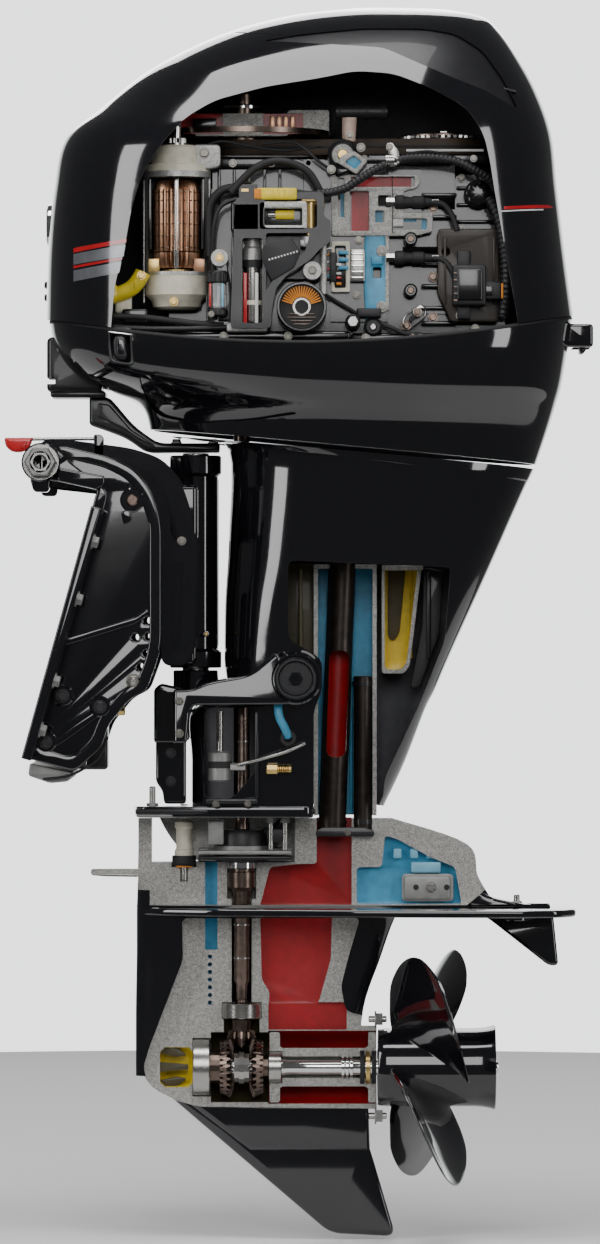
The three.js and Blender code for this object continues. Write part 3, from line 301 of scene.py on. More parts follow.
def plate(name, points, low, high, mat, body=None, radius=0, bevel=1.0, holes=(), axis="Y",
          crease=32, steps=5):
    """A plate with softened edges: its outline is seen along the axis, from low to high."""
    curve = bpy.data.curves.new(name, "CURVE")
    curve.dimensions = "2D"
    curve.fill_mode = "BOTH"
    bevel = min(bevel, (high - low) * 0.45)
    curve.extrude = ((high - low) / 2 - bevel) * MM
    curve.bevel_depth = bevel * MM
    curve.bevel_resolution = 2 if bevel > 0.6 else 1
    curve.offset = -bevel * MM
    loops = [rounded(points, radius, steps)]
    if area(loops[0]) < 0:
        loops[0].reverse()
    for hole in holes:
        loop = circle(*hole) if isinstance(hole[0], (int, float)) else rounded(hole, 2)
        if area(loop) > 0:
            loop.reverse()
        loops.append(loop)
    for loop in loops:
        spline = curve.splines.new("POLY")
        spline.points.add(len(loop) - 1)
        for point, at in zip(spline.points, loop):
            point.co = (at.x * MM, at.y * MM, 0, 1)
        spline.use_cyclic_u = True
    shape = bpy.data.objects.new(name + "_shape", curve)
    scene.collection.objects.link(shape)
    graph = bpy.context.evaluated_depsgraph_get()
    mesh = bpy.data.meshes.new_from_object(shape.evaluated_get(graph), depsgraph=graph)
    bpy.data.objects.remove(shape)
    middle = (low + high) / 2 * MM
    turn = {
        "Y": Matrix(((1, 0, 0, 0), (0, 0, -1, middle), (0, 1, 0, 0), (0, 0, 0, 1))),
        "Z": Matrix.Translation((0, 0, middle)),
        "X": Matrix(((0, 0, 1, middle), (1, 0, 0, 0), (0, 1, 0, 0), (0, 0, 0, 1))),
    }[axis]
    mesh.transform(turn)
    work = bmesh.new()
    work.from_mesh(mesh)
    bmesh.ops.remove_doubles(work, verts=work.verts, dist=2e-6)
    bmesh.ops.recalc_face_normals(work, faces=work.faces)
    work.to_mesh(mesh)
    work.free()
    made = bpy.data.objects.new(name, mesh)
    scene.collection.objects.link(made)
    return dress(made, mat, body, crease)


def brick(name, x, y, z, mat, body=None, bevel=1.0, turn=None):
    """A block with rounded edges; x, y and z are its low and high faces."""
    work = bmesh.new()
    bmesh.ops.create_cube(work, size=1)
    for v in work.verts:
        v.co = Vector(
            [MM * (pair[0] + (pair[1] - pair[0]) * (c + 0.5)) for c, pair in zip(v.co, (x, y, z))]
        )
    if bevel:
        bmesh.ops.bevel(work, geom=work.edges[:], offset=bevel * MM, segments=3, profile=0.5,
                        affect="EDGES")
    mesh = bpy.data.meshes.new(name)
    work.to_mesh(mesh)
    work.free()
    made = bpy.data.objects.new(name, mesh)
    scene.collection.objects.link(made)
    if turn:
        centre = Vector([(a + b) / 2 * MM for a, b in (x, y, z)])
        mesh.transform(Matrix.Translation(centre) @ Matrix.Rotation(math.radians(turn), 4, "Y")
                       @ Matrix.Translation(-centre))
    return dress(made, mat, body)


def turned(name, profile, mat, body=None, at=(0, 0), axis="Z", sides=64, crease=32, lobes=None):
    """A turned piece: pairs of radius and height along the axis through at."""
    verts, faces, rings = [], [], []
    for r, h in profile:
        ring = []
        for k in range(1 if r == 0 else sides):
            a = 2 * math.pi * k / sides
            grow = 1 + (lobes[1] * math.cos(lobes[0] * a) if lobes else 0)
            u, v = r * grow * math.cos(a), r * grow * math.sin(a)
            spot = {
                "Z": (at[0] + u, at[1] + v, h),
                "Y": (at[0] + u, h, at[1] + v),
                "X": (h, at[0] + u, at[1] + v),
            }[axis]
            ring.append(len(verts))
            verts.append(spot)
        rings.append(ring)
    for a, b in zip(rings, rings[1:]):
        for k in range(sides):
            n = (k + 1) % sides
            face = [a[k % len(a)], a[n % len(a)], b[n % len(b)], b[k % len(b)]]
            face = list(dict.fromkeys(face))
            if len(face) > 2:
                faces.append(face)
    return object_of(name, verts, faces, mat, body, crease)


def rod(name, r, low, high, mat, body=None, at=(0, 0), axis="Z", chamfer=0.8, sides=48):
    """A round bar from low to high along an axis, with chamfered ends."""
    c = min(chamfer, r * 0.5, (high - low) * 0.3)
    profile = [(0, low), (r - c, low), (r, low + c), (r, high - c), (r - c, high), (0, high)]
    return turned(name, profile, mat, body, at, axis, sides)


def bolt(name, x, z, y, mat, body, r=6, head=5, toward=-1, axis="Y"):
    """A flanged hexagon bolt head whose seat is at y and whose head stands out toward one side."""
    r *= 0.84
    rise = [y, y + toward * 1.2, y + toward * head]
    flange = turned(name, [(0, rise[0]), (r * 1.25, rise[0]), (r * 1.25, rise[1]), (0, rise[1])],
                    mat, None, (x, z), axis, 32)
    hexagon = turned(name + "_hex",
                     [(0, rise[0]), (r, rise[0]), (r, rise[2] - toward * 0.8),
                      (r * 0.86, rise[2]), (0, rise[2])], mat, None, (x, z), axis, 6)
    return merge(flange, hexagon, body=body)


def merge(first, *others, body=None):
    """One object from several, each keeping its own materials."""
    bpy.context.view_layer.update()
    work = bmesh.new()
    mats = []
    for made in (first, *others):
        start = len(work.faces)
        work.from_mesh(made.data)
        work.faces.ensure_lookup_table()
        for face in work.faces[start:]:
            mat = made.data.materials[face.material_index]
            if mat not in mats:
                mats.append(mat)
            face.material_index = mats.index(mat)
    mesh = bpy.data.meshes.new(first.name)
    work.to_mesh(mesh)
    work.free()
    for mat in mats:
        mesh.materials.append(mat)
    first.data = mesh
    for made in others:
        bpy.data.objects.remove(made)
    soften(first)
    if body:
        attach(first, body)
    return first


def hose(name, points, r, mat, body=None, ribs=0, depth=0.12, ends=True):
    """A hose along a smooth line; ribs is the spacing of its corrugations."""
    curve = bpy.data.curves.new(name, "CURVE")
    curve.dimensions = "3D"
    curve.bevel_depth = MM
    curve.bevel_resolution = 5
    curve.use_fill_caps = ends
    path = spline_through([Vector(p) for p in points], ribs / 4 if ribs else 3)
    spline = curve.splines.new("POLY")
    spline.points.add(len(path) - 1)
    for i, (point, at) in enumerate(zip(spline.points, path)):
        point.co = (*(at * MM), 1)
        point.radius = r * (1 - (depth if ribs and i % 4 >= 2 else 0))
    shape = bpy.data.objects.new(name + "_shape", curve)
    scene.collection.objects.link(shape)
    graph = bpy.context.evaluated_depsgraph_get()
    mesh = bpy.data.meshes.new_from_object(shape.evaluated_get(graph), depsgraph=graph)
    bpy.data.objects.remove(shape)
    made = bpy.data.objects.new(name, mesh)
    scene.collection.objects.link(made)
    return dress(made, mat, body, 50)


def spline_through(points, gap):
    """Points at even gaps on a smooth line through the given ones."""
    dense = []
    for i in range(len(points) - 1):
        p0, p1 = points[max(i - 1, 0)], points[i]
        p2, p3 = points[i + 1], points[min(i + 2, len(points) - 1)]
        for k in range(24):
            t = k / 24
            dense.append(0.5 * (2 * p1 + (p2 - p0) * t + (2 * p0 - 5 * p1 + 4 * p2 - p3) * t * t
                                + (3 * p1 - p0 - 3 * p2 + p3) * t ** 3))
    dense.append(points[-1])
    path, left = [dense[0]], gap
    for a, b in zip(dense, dense[1:]):
        length = (b - a).length
        while left <= length:
            path.append(a.lerp(b, left / length))
            left += gap
        left -= length
    if (path[-1] - dense[-1]).length > gap * 0.3:
        path.append(dense[-1])
    return path


# ------------------------------------------------------------------ lofted shells
KEYS = ("fx", "fz", "rx", "rz", "half", "power", "dip", "taper")


def between(rows, steps):
    """More sections on a smooth line through the given ones."""
    rows = [tuple(row) + (0,) * (len(KEYS) - len(row)) for row in rows]
    fine = []
    for i in range(len(rows) - 1):
        p0, p1 = rows[max(i - 1, 0)], rows[i]
        p2, p3 = rows[i + 1], rows[min(i + 2, len(rows) - 1)]
        for k in range(steps):
            t = k / steps
            fine.append([0.5 * (2 * b + (c - a) * t + (2 * a - 5 * b + 4 * c - d) * t * t
                                + (3 * b - a - 3 * c + d) * t ** 3)
                         for a, b, c, d in zip(p0, p1, p2, p3)])
    return fine + [list(rows[-1])]


def ring_of(row, count, grow=0):
    """One closed section of a lofted shell."""
    fx, fz, rx, rz, half, power, dip, taper = row
    fx, rx, half = fx - grow, rx + grow, half + grow
    points = []
    for k in range(count):
        a = 2 * math.pi * k / count
        bulge = lambda t: math.copysign(abs(t) ** (2 / power), t)
        u = bulge(math.cos(a))
        t = (u + 1) / 2
        points.append((fx + (rx - fx) * t, half * bulge(math.sin(a)) * (1 - taper * t),
                       fz + (rz - fz) * t - dip * (1 - u * u)))
    return points


def loft(name, rows, mat, body=None, count=128, steps=8, grow=0, lift=(0, 0), crease=40):
    """A closed skin over smooth sections; lift moves the first and the last section in Z."""
    fine = between(rows, steps) if steps > 1 else [list(r) + [0] * (len(KEYS) - len(r)) for r in rows]
    for row, by in ((fine[0], lift[0]), (fine[-1], lift[1])):
        row[1] += by
        row[3] += by
    rings = [ring_of(row, count, grow) for row in fine]
    verts = [p for ring in rings for p in ring]
    faces = []
    for i in range(len(rings) - 1):
        for k in range(count):
            n = (k + 1) % count
            faces.append([i * count + k, i * count + n, (i + 1) * count + n, (i + 1) * count + k])
    # end caps as strips across, so each stays flat
    for base in (0, (len(rings) - 1) * count):
        for k in range(count // 2):
            quad = [base + k, base + k + 1, base + (count - k - 1) % count, base + (count - k) % count]
            quad = list(dict.fromkeys(quad))
            if len(quad) > 2:
                faces.append(quad)
    return object_of(name, verts, faces, mat, body, crease)


# ------------------------------------------------------------------ top cowl
COWL_ROWS = [(-64, 204, 568, 209, 189, 2.9, 31), (-62, 286, 558, 285, 189.5, 2.9, 6),
             (-55, 362, 549, 362, 186, 2.9, 0), (-42, 420, 542, 426, 176, 2.8, 0),
             (0, 458, 524, 478, 160, 2.7, 0), (60, 505, 500, 522, 136, 2.6, 0),
             (140, 545, 479, 552, 105, 2.5, 0), (222, 569, 461, 568, 68, 2.4, 0),
             (296, 579, 425, 577, 28, 2.2, 0)]
COWL_WINDOW = [(14, 150), (22, 240), (34, 285), (42, 330), (54, 370), (78, 408), (106, 438), (140, 458),
               (200, 474), (262, 484), (305, 493), (350, 490), (396, 472), (436, 450), (456, 420),
               (463, 390), (470, 345), (480, 290), (498, 190), (498, 150)]
cowl = loft("top_cowl_shell", COWL_ROWS, GLOSS, count=200, steps=9, grow=-0.4)
carve(
    cowl, loft("cowl_inside", COWL_ROWS, LINER, count=160, steps=7, grow=-4, lift=(-4, -4)),
    plate("cowl_window", COWL_WINDOW, -230, -30, CUT, radius=14, bevel=0.01, steps=6), crease=30)
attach(cowl, "cowl")
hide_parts("top_cowl")

# ------------------------------------------------------------------ lower cowl
LOWER_ROWS = [(-60, 200, 566, 205, 186, 2.9, 32), (-53, 172, 561, 170, 184, 2.9, 14),
              (-28, 139, 554, 128, 175, 2.8, 0), (18, 117, 547, 103, 158, 2.6, 0),
              (50, 100, 537, 72, 136, 2.5, 0), (60, 74, 523, 32, 119, 2.4, 0)]
lower = loft("lower_cowl", LOWER_ROWS, GLOSS, count=200, steps=8)
carve(
    lower, loft("lower_cowl_inside", LOWER_ROWS, LINER, count=160, steps=6, grow=-5, lift=(4, -3)),
    plate(
        "side_latch_well", [(13, 190), (42, 190), (45, 146), (17, 150)], -200, -139, SATIN, radius=5,
        bevel=0.01),
    crease=30)
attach(lower, "motor")
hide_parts("lower_cowl")

# ------------------------------------------------------------------ drive shaft housing
MID_ROWS = [(66, 67, 521, 27, 116, 2.3), (112, 61, 515, 14, 113, 2.3), (154, 50, 508, 0, 108, 2.3),
            (154, -60, 466, -95, 100, 2.3), (150, -130, 434, -165, 90, 2.4),
            (149, -200, 416, -205, 83, 2.5), (149, -243, 402, -238, 80, 2.6),
            (110, -262, 390, -262, 78, 3), (110, -320, 366, -324, 72, 3), (110, -376, 341, -376, 66, 3)]
midsection = loft("driveshaft_housing", MID_ROWS, GLOSS, count=160, steps=5)
carve(
    midsection,
    plate(
        "housing_foot", [(46, -60), (256, -70), (256, 70), (46, 60), (40, 0)], -389, -375.5, GLOSS,
        radius=14, bevel=2, axis="Z"),
    how="UNION")
carve(
    midsection, loft("housing_inside", MID_ROWS, LINER, count=120, steps=4, grow=-7, lift=(30, -1)),
    plate(
        "housing_window",
        [(226, -84), (236, -83), (419, -91, 6), (413, -178), (382, -256), (341, -343), (337, -400),
         (256, -400), (256, -262), (266, -238), (266, -200), (226, -176)],
        -160, 0, CUT, radius=10, bevel=0.01),
    plate(
        "service_window", [(126, -258), (190, -258), (190, -330), (160, -366), (126, -366)], -160, 0, CUT,
        radius=8, bevel=0.01),
    brick("steering_head_gap", (40, 150), (-32, 32), (30, 59), LINER, bevel=0), crease=30)
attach(midsection, "motor")
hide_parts("driveshaft_housing")

# ------------------------------------------------------------------ gear housing
PROP_Z = -690
STRUT_ROWS = [(46, -391, 350, -391, 68, 2.6, 0, 0), (46, -430, 440, -422, 64, 2.4, 0, 0.3),
              (45, -470, 454, -462, 52, 2.2, 0, 0.45), (44, -500, 478, -500, 44, 2.1, 0, 0.5)]
LEG_ROWS = [(44, -495, 362, -495, 44, 2.1, 0, 0.4), (44, -520, 350, -520, 40, 2.1, 0, 0.45),
            (44, -560, 336, -560, 34, 2, 0, 0.4), (43, -620, 316, -620, 31, 2, 0, 0.3),
            (43, -700, 310, -700, 30, 2, 0, 0.3)]
NOSE = [(0, 50), (8, 51.5), (16, 56), (24, 63), (30, 72), (36, 84), (40, 98), (44, 118), (47, 140),
        (49.2, 170), (50, 200), (50, 332), (0, 332)]
leg = loft("gear_housing", STRUT_ROWS, GLOSS, count=128, steps=6)
half_plate = [(44, -6), (70, -34), (140, -62), (300, -84), (500, -100), (548, -92), (569, -60)]
carve(
    leg, loft("leg", LEG_ROWS, GLOSS, count=128, steps=5),
    turned("torpedo", NOSE, GLOSS, at=(0, PROP_Z), axis="X", sides=96),
    plate(
        "skeg", [(43, -690, 8), (276, -889, 14), (355, -893, 14), (322, -780, 20), (310, -730)], -4.5,
        4.5, GLOSS, bevel=4),
    plate("skeg_root", [(60, -700), (180, -790), (324, -790), (322, -730)], -9, 9, GLOSS, bevel=7),
    plate(
        "cavitation_plate", half_plate + [(x, -y) for x, y in reversed(half_plate)], -507, -498, GLOSS,
        bevel=3, radius=12, axis="Z"),
    plate(
        "splash_plate",
        [(-11, -8), (4, -34), (60, -62), (120, -62), (120, 62), (60, 62), (4, 34), (-11, 8)], -460, -452,
        GLOSS, bevel=3, radius=10, axis="Z"),
    plate(
        "aft_ridge", [(440, -470), (470, -486), (500, -492), (545, -499), (440, -499)], -16, 16, GLOSS,
        bevel=5, radius=8),
    how="UNION")
UPPER_CUT = [(-30, -380), (470, -380), (470, -470), (440, -495), (60, -495), (60, -477), (46, -477),
             (46, -458), (-30, -458)]
LOWER_CUT = [(99, -510), (100, -560), (60, -664), (52, -690), (60, -713), (84, -728), (120, -737),
             (337, -739), (337, -634), (295, -622), (289, -592), (300, -550), (312, -510)]
carve(
    leg, plate("upper_cut", UPPER_CUT, -120, 0, CUT, bevel=0.01),
    plate("lower_cut", LOWER_CUT, -80, 0, CUT, bevel=0.01, radius=8),
    brick("pump_well", (62, 234), (-1, 46), (-444, -380), CAST, bevel=0),
    plate(
        "exhaust_well",
        [(260, -380), (302, -380), (302, -497), (192, -497), (204, -450), (240, -446), (260, -446)], -1,
        26, RED, radius=5, bevel=0.01),
    plate(
        "exhaust_run",
        [(279, -490), (277, -560), (262, -614), (202, -614), (204, -600), (194, -585), (192, -490)], -1,
        9, RED, radius=6, bevel=0.01),
    brick("exhaust_drop", (202, 296), (-1, 8), (-645, -612), RED, bevel=0),
    rod("exhaust_bore", 43.8, 202, 345, RED, at=(0, PROP_Z), axis="X", chamfer=0.01, sides=80),
    plate(
        "aft_water_space",
        [(342, -412), (356, -416), (396, -438), (426, -450), (434, -494), (308, -494), (308, -450),
         (338, -450)],
        -1, 10.5, BLUE, radius=5, bevel=0.01),
    brick("pickup_channel", (126, 141), (-1, 10), (-549, -443), BLUE, bevel=0),
    rod("shaft_bore", 17.5, -488, -440, CAST, at=(170, 0), chamfer=0.01),
    rod("shaft_tunnel", 12, -620, -480, BURNT, at=(170, 0), chamfer=0.01),
    rod("pinion_bearing_seat", 24, -632, -612, CAST, at=(170, 0), chamfer=0.01),
    rod("pinion_space", 21.5, -666, -631, OLIVE, at=(170, 0), chamfer=0.01),
    rod("gear_space", 42, 133, 203, OLIVE, at=(0, PROP_Z), axis="X", chamfer=0.01, sides=80),
    rod("forward_bearing_seat", 35, 111, 134, CAST, at=(0, PROP_Z), axis="X", chamfer=0.01, sides=80),
    rod("nose_space", 24, 72, 112, YELLOW, at=(0, PROP_Z), axis="X", chamfer=6, sides=64),
    rod("shift_seat", 15, -450, -443, CAST, at=(101, 0), chamfer=0.01),
    rod("shift_bore", 4.5, -468, -449, CAST, at=(101, 0), chamfer=0.01),
    rod("tab_bore", 5, -520, -480, CAST, at=(500, 0), chamfer=0.01),
    rod("exhaust_socket", 17.5, -413, -380, CAST, at=(278, 6), chamfer=0.01),
    rod("water_socket", 12.4, -410, -380, CAST, at=(315.5, 6), chamfer=0.01),
    *[rod("inlet", 2.6, -1, 12, BLUE, at=(132, -557.5 - 9.2 * i), axis="Y", chamfer=0.01, sides=16)
      for i in range(7)],
    crease=30)
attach(leg, "motor")
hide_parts("gear_housing")

# ------------------------------------------------------------------ propeller
PROP_X = 385
PITCH = 330
BLADE = [  # radius, half angle, rake, half thickness
    (38, 34, -1, 6.0), (55, 41, 1, 4.8), (75, 46, 5, 3.8), (98, 49, 9, 3.0), (118, 45, 13, 2.4),
    (134, 36, 16, 1.9), (146, 24, 19, 1.5), (152, 11, 21, 1.2), (154, 4, 22, 0.9),
]


def blade(i):
    """One propeller blade, lofted outward from the hub."""
    rows = between([(r, h, k, t, 0, 0, 0, 0) for r, h, k, t in BLADE], 4)
    steps, verts, faces = 20, [], []
    start = math.radians(-42) + i * math.pi / 2
    for r, half, rake, thick, *_ in rows:
        for side in (1, -1):
            for k in range(steps + 1):
                t = (2 * k / steps - 1) * side
                a = math.radians(half) * t
                x = PROP_X + PITCH * a / (2 * math.pi) + rake
                x += side * (thick * math.sqrt(max(0, 1 - t * t)) + 0.35)
                verts.append((x, -r * math.cos(start + a), PROP_Z - r * math.sin(start + a)))
    n = 2 * (steps + 1)
    for j in range(len(rows) - 1):
        for k in range(n):
            m = (k + 1) % n
            faces.append([j * n + k, j * n + m, (j + 1) * n + m, (j + 1) * n + k])
    for base in (0, (len(rows) - 1) * n):
        faces += [[base + k, base + k + 1, base + n - 2 - k, base + n - 1 - k]
                  for k in range(steps)]
    return object_of("blade", verts, faces, GLOSS, None, 50)


propeller = turned(
    "propeller",
    [(10.2, 345), (40, 345), (40, 333), (45, 333), (46.4, 334.5), (47, 345), (47, 450), (47.6, 458),
     (49, 466), (51, 473), (50, 474), (44, 474), (43, 466), (42, 458), (42, 452), (10.2, 452),
     (10.2, 345)],
    GLOSS, None, (0, PROP_Z), "X", 96)
carve(propeller, *[blade(i) for i in range(4)], how="UNION", crease=40)
carve(
    propeller,
    *[rod(
          "hub_passage", 13, 340, 460, SATIN, None,
          (26 * math.cos(2.1 * i + 0.5), PROP_Z + 26 * math.sin(2.1 * i + 0.5)), "X")
      for i in range(3)],
    crease=40)
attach(propeller, "prop")
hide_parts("propeller")

# ------------------------------------------------------------------ clamp brackets
def sided(side, near, far):
    """A span of y from near to far off the centre plane, on one side of it."""
    return (side * near, side * far) if side > 0 else (side * far, side * near)


LEAN = math.radians(15.5)


def along(distance, off=0):
    """A point down the transom face; off is measured aft of it."""
    return (-distance * math.sin(LEAN) + off * math.cos(LEAN),
            -distance * math.cos(LEAN) - off * math.sin(LEAN))


WEB = [(-48, 54, 14), (14, 40, 16), (46, 24, 14), (64, 0, 14), (76, -36, 20), (76, -178, 14),
       (72, -200, 10), (58, -238, 8), (38, -248, 8), (14, -277, 8), (4, -306, 8), (-26, -332, 8),
       along(328), along(20), (0, 0, 2), (-46, 10, 6), (-64, 12, 8)]
WEB_INNER = [(-38, 38), (8, 27), (34, 14), (50, -6), (62, -40), (62, -176), (58, -198), (47, -227),
             (30, -236), (4, -266), (-8, -296), (-32, -316), along(310, 13), along(36, 15), (14, -2)]
TRIM_HOLES = [(59, -154), (45, -174), (60, -173), (58, -193), (51, -209)]
for side, node in ((-1, "clamp_bracket_port"), (1, "clamp_bracket_starboard")):
    bracket = plate(
        "clamp_web", WEB, *sided(side, 112, 121), GLOSS, radius=6, bevel=2.4, steps=8,
        holes=[(x, z, 4.6) for x, z in TRIM_HOLES])
    merge(
        bracket,
        plate("clamp_rim", WEB, *sided(side, 119, 124.4), GLOSS, radius=6, bevel=2.4, steps=8,
              holes=[[p + (10,) for p in WEB_INNER]]),
        plate("clamp_flange", [along(328), along(20), along(20, 12), along(328, 12)],
              *sided(side, 120, 168), GLOSS, radius=2, bevel=2),
        plate("clamp_hook", [(-46, 10), (0, 0), (10, 6), (10, 16), (-44, 26)], *sided(side, 120, 150),
              GLOSS, radius=3, bevel=2.5),
        *[turned("clamp_boss", [(14.4, side * 113), (22, side * 113), (23, side * 116), (23, side * 148),
                                (21, side * 150), (14.4, side * 150), (14.4, side * 113)], GLOSS, None,
                 (-65, 32), "Y", 64)],
        plate("clamp_rib_high", [(-40, -176), (46, -150), (60, -140), (62, -146), (46, -158), (-38, -184)],
              *sided(side, 119, 123), GLOSS, radius=4, bevel=1.6),
        plate("clamp_rib_low", [(40, -232), (-40, -286), (-62, -306), (-58, -310), (-34, -294), (44, -238)],
              *sided(side, 119, 123), GLOSS, radius=4, bevel=1.6),
        turned("pivot_boss", [(6, side * 118), (14, side * 118), (14.6, side * 120), (14.6, side * 124),
                              (13, side * 125.4), (6, side * 125.4), (6, side * 118)], GLOSS, None,
               (42, -12), "Y", 48),
        rod("pivot_pin", 6.6, *sided(side, 120, 127), DARK_STEEL, None, (42, -12), "Y", 1.2),
        plate("pivot_lug", [(28, -26), (40, -22), (42, -36), (32, -42)], *sided(side, 119, 124), GLOSS,
              radius=4, bevel=1.6),
        plate("hook_lug", [(-79, 15), (-54, 15), (-56, -3), (-74, -3)], *sided(side, 119, 140), GLOSS,
              radius=5, bevel=2),
        *[merge(turned("bolt_boss", [(0, side * 119), (13, side * 119), (13, side * 123), (11, side * 125),
                                     (0, side * 125)], GLOSS, None, (x, z), "Y", 48),
                bolt("clamp_bolt", x, z, side * 125, SATIN, None, 7.5, 6, side))
          for x, z in ((-40, -243), (4, -256), (-60, -298))],
        bolt("trim_bolt", 43, -226, side * 121, BOLT, None, 8.5, 7, side),
        rod("trim_bolt_core", 4, *sided(side, 127, 130), STEEL, None, (43, -226), "Y", 1),
        body="clamp")
    for d in (60, 130, 230, 290):
        x, z = along(d, 12)
        seat = turned("transom_washer", [(0, 0), (9.5, 0), (9.5, 2), (0, 2)], ZINC, None, (0, 0), "X", 32)
        head = turned("transom_bolt", [(0, 2), (7.5, 2), (7.5, 6.4), (6.4, 7.4), (0, 7.4)], ZINC, None,
                      (0, 0), "X", 6)
        merge(seat, head, body="clamp")
        seat.data.transform(Matrix.Translation((x * MM, side * 146 * MM, z * MM))
                            @ Matrix.Rotation(LEAN, 4, "Y"))
    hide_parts(node)

tube = turned(
    "tilt_tube_body",
    [(8.5, -176), (12.5, -176), (13.5, -175), (13.5, 175), (12.5, 176), (8.5, 176), (8.5, -176)], STEEL,
    None, (-65, 32), "Y", 48)
merge(
    tube,
    *[turned("tilt_nut", [(12, s * 152), (19, s * 152), (19, s * 173), (17, s * 176), (12, s * 176),
                          (12, s * 152)], ZINC, None, (-65, 32), "Y", 6) for s in (-1, 1)],
    *[turned("tilt_nut_collar", [(9, s * 150.5), (21, s * 150.5), (21, s * 153), (9, s * 153),
                                 (9, s * 150.5)], STEEL, None, (-65, 32), "Y", 48) for s in (-1, 1)],
    body="clamp")
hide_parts("tilt_tube")

# ------------------------------------------------------------------ tilt ram and trim unit
RAM_LOW, RAM_TOP = Vector((-40, 0, -292)), Vector((42, 0, -12))
RAM_LINE = (RAM_TOP - RAM_LOW).normalized()


def on_ram(made):
    """Stands a piece turned on Z on the ram's line, measured from its low pin."""
    made.data.transform(Matrix.Translation(RAM_LOW * MM)
                        @ RAM_LINE.to_track_quat("Z", "Y").to_matrix().to_4x4())
    return made


barrel = on_ram(
    turned(
        "ram_barrel",
        [(9.6, 26), (9.6, 196), (23, 196), (25, 194), (25, 182), (23, 180), (21.5, 178), (21.5, 20),
         (18, 14), (0, 14), (0, 26), (9.6, 26)],
        SATIN, None, (0, 0), "Z", 64))
merge(
    barrel,
    on_ram(
        turned(
            "ram_band", [(21, 60), (22.2, 60), (22.2, 66), (21, 66), (21, 60)], SATIN, None, (0, 0), "Z",
            64)),
    on_ram(
        turned(
            "ram_wiper", [(9, 195), (16, 195), (15, 200), (9, 200), (9, 195)], RUBBER, None, (0, 0), "Z",
            48)),
    turned(
        "ram_eye", [(9.6, -16), (17, -16), (18, -15), (18, 15), (17, 16), (9.6, 16), (9.6, -16)], SATIN,
        None, (RAM_LOW.x, RAM_LOW.z), "Y", 48),
    body="tilt_cylinder")
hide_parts("tilt_cylinder_barrel")
ram = on_ram(rod("ram_rod", 8.5, 44, 286, CHROME))
merge(
    ram,
    turned(
        "ram_top_eye", [(6, -13), (13, -13), (14, -12), (14, 12), (13, 13), (6, 13), (6, -13)], STEEL,
        None, (RAM_TOP.x, RAM_TOP.z), "Y", 48),
    body="tilt_ram")
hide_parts("tilt_ram_rod")
unit = brick("pump_block", (-52, 12), (-108, -28), (-276, -205), SATIN, bevel=4)
merge(
    unit, rod("reservoir", 24, -206, -118, SATIN, None, (-4, -70), "Z", 4, 64),
    rod("reservoir_cap", 10, -119, -116, RUBBER, None, (-4, -70), "Z", 1.5, 12),
    brick("motor_block", (-52, 12), (28, 106), (-276, -190), SATIN, bevel=4),
    rod("low_pin", 9, -111.6, 111.6, STEEL, None, (RAM_LOW.x, RAM_LOW.z), "Y"),
    *[brick("unit_foot", (-66, -14), sided(s, 84, 111.5), (-318, -270), SATIN, bevel=4) for s in (-1, 1)],
    *[bolt("unit_bolt", x, z, -108, BOLT, None, 5, 3.4)
      for x, z in ((-42, -216), (2, -216), (-30, -262))],
    turned(
        "relief_screw", [(0, -108), (5, -108), (5, -111), (0, -111)], BRASS, None, (-14, -240), "Y", 24),
    body="clamp")
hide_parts("trim_pump_unit")
merge(
    brick("unit_low", (-26, 12), (-96, -40), (-331, -276), SATIN, bevel=4),
    brick("unit_plug", (-25, -12), (-100, -94), (-331, -314), STEEL, bevel=2),
    rod("unit_fitting_stem", 3, 13, 24, STEEL, None, (-64, -265), "X"),
    rod("unit_fitting", 6, 22, 32, BRASS, None, (-64, -262), "X", 1.5, 6),
    hose(
        "unit_wire",
        [(12, -100, -292), (4, -108, -314), (-10, -110, -326), (-34, -110, -338), (-64, -108, -342)], 1.6,
        RUBBER),
    brick("unit_tag", (-34, -6), (-102, -98), (-312, -300), SATIN, bevel=1.5), body="clamp")
anode = plate(
    "clamp_zinc", [(-80, -322.5), (-28, -334), (-34, -345), (-56, -347), (-82, -338)], -104, 104, ZINC,
    radius=4, bevel=2)
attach(anode, "clamp")
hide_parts("clamp_anode")

# ------------------------------------------------------------------ swivel bracket
ARM = [(-66, 56, 12), (-44, 57, 8), (40, 46, 14), (75, 34, 14), (98, 8, 14), (109, -24, 14),
       (117, -70, 10), (112, -186, 8), (104, -204, 8), (80, -204, 8), (76, -120, 20), (80, -60, 14),
       (62, -24, 16), (22, 0, 14), (-66, 10, 12)]
ARM_GROOVE = [(90, -84), (104, -84), (101, -180), (96, -192), (87, -192), (86, -120)]
ARM_POCKET = [(-34, 42), (34, 34), (62, 22), (82, 0), (92, -28), (98, -64), (92, -66), (82, -40),
              (64, -8), (34, 12), (-30, 26)]
swivel = turned(
    "swivel_column",
    [(16.8, -211), (30, -211), (31, -209.5), (31, -192), (29, -190), (27, -188), (27, 18), (29, 20),
     (31, 22), (31, 42), (29.5, 43.5), (16.8, 43.5), (16.8, -211)],
    GLOSS, None, (115, 0), "Z", 80)
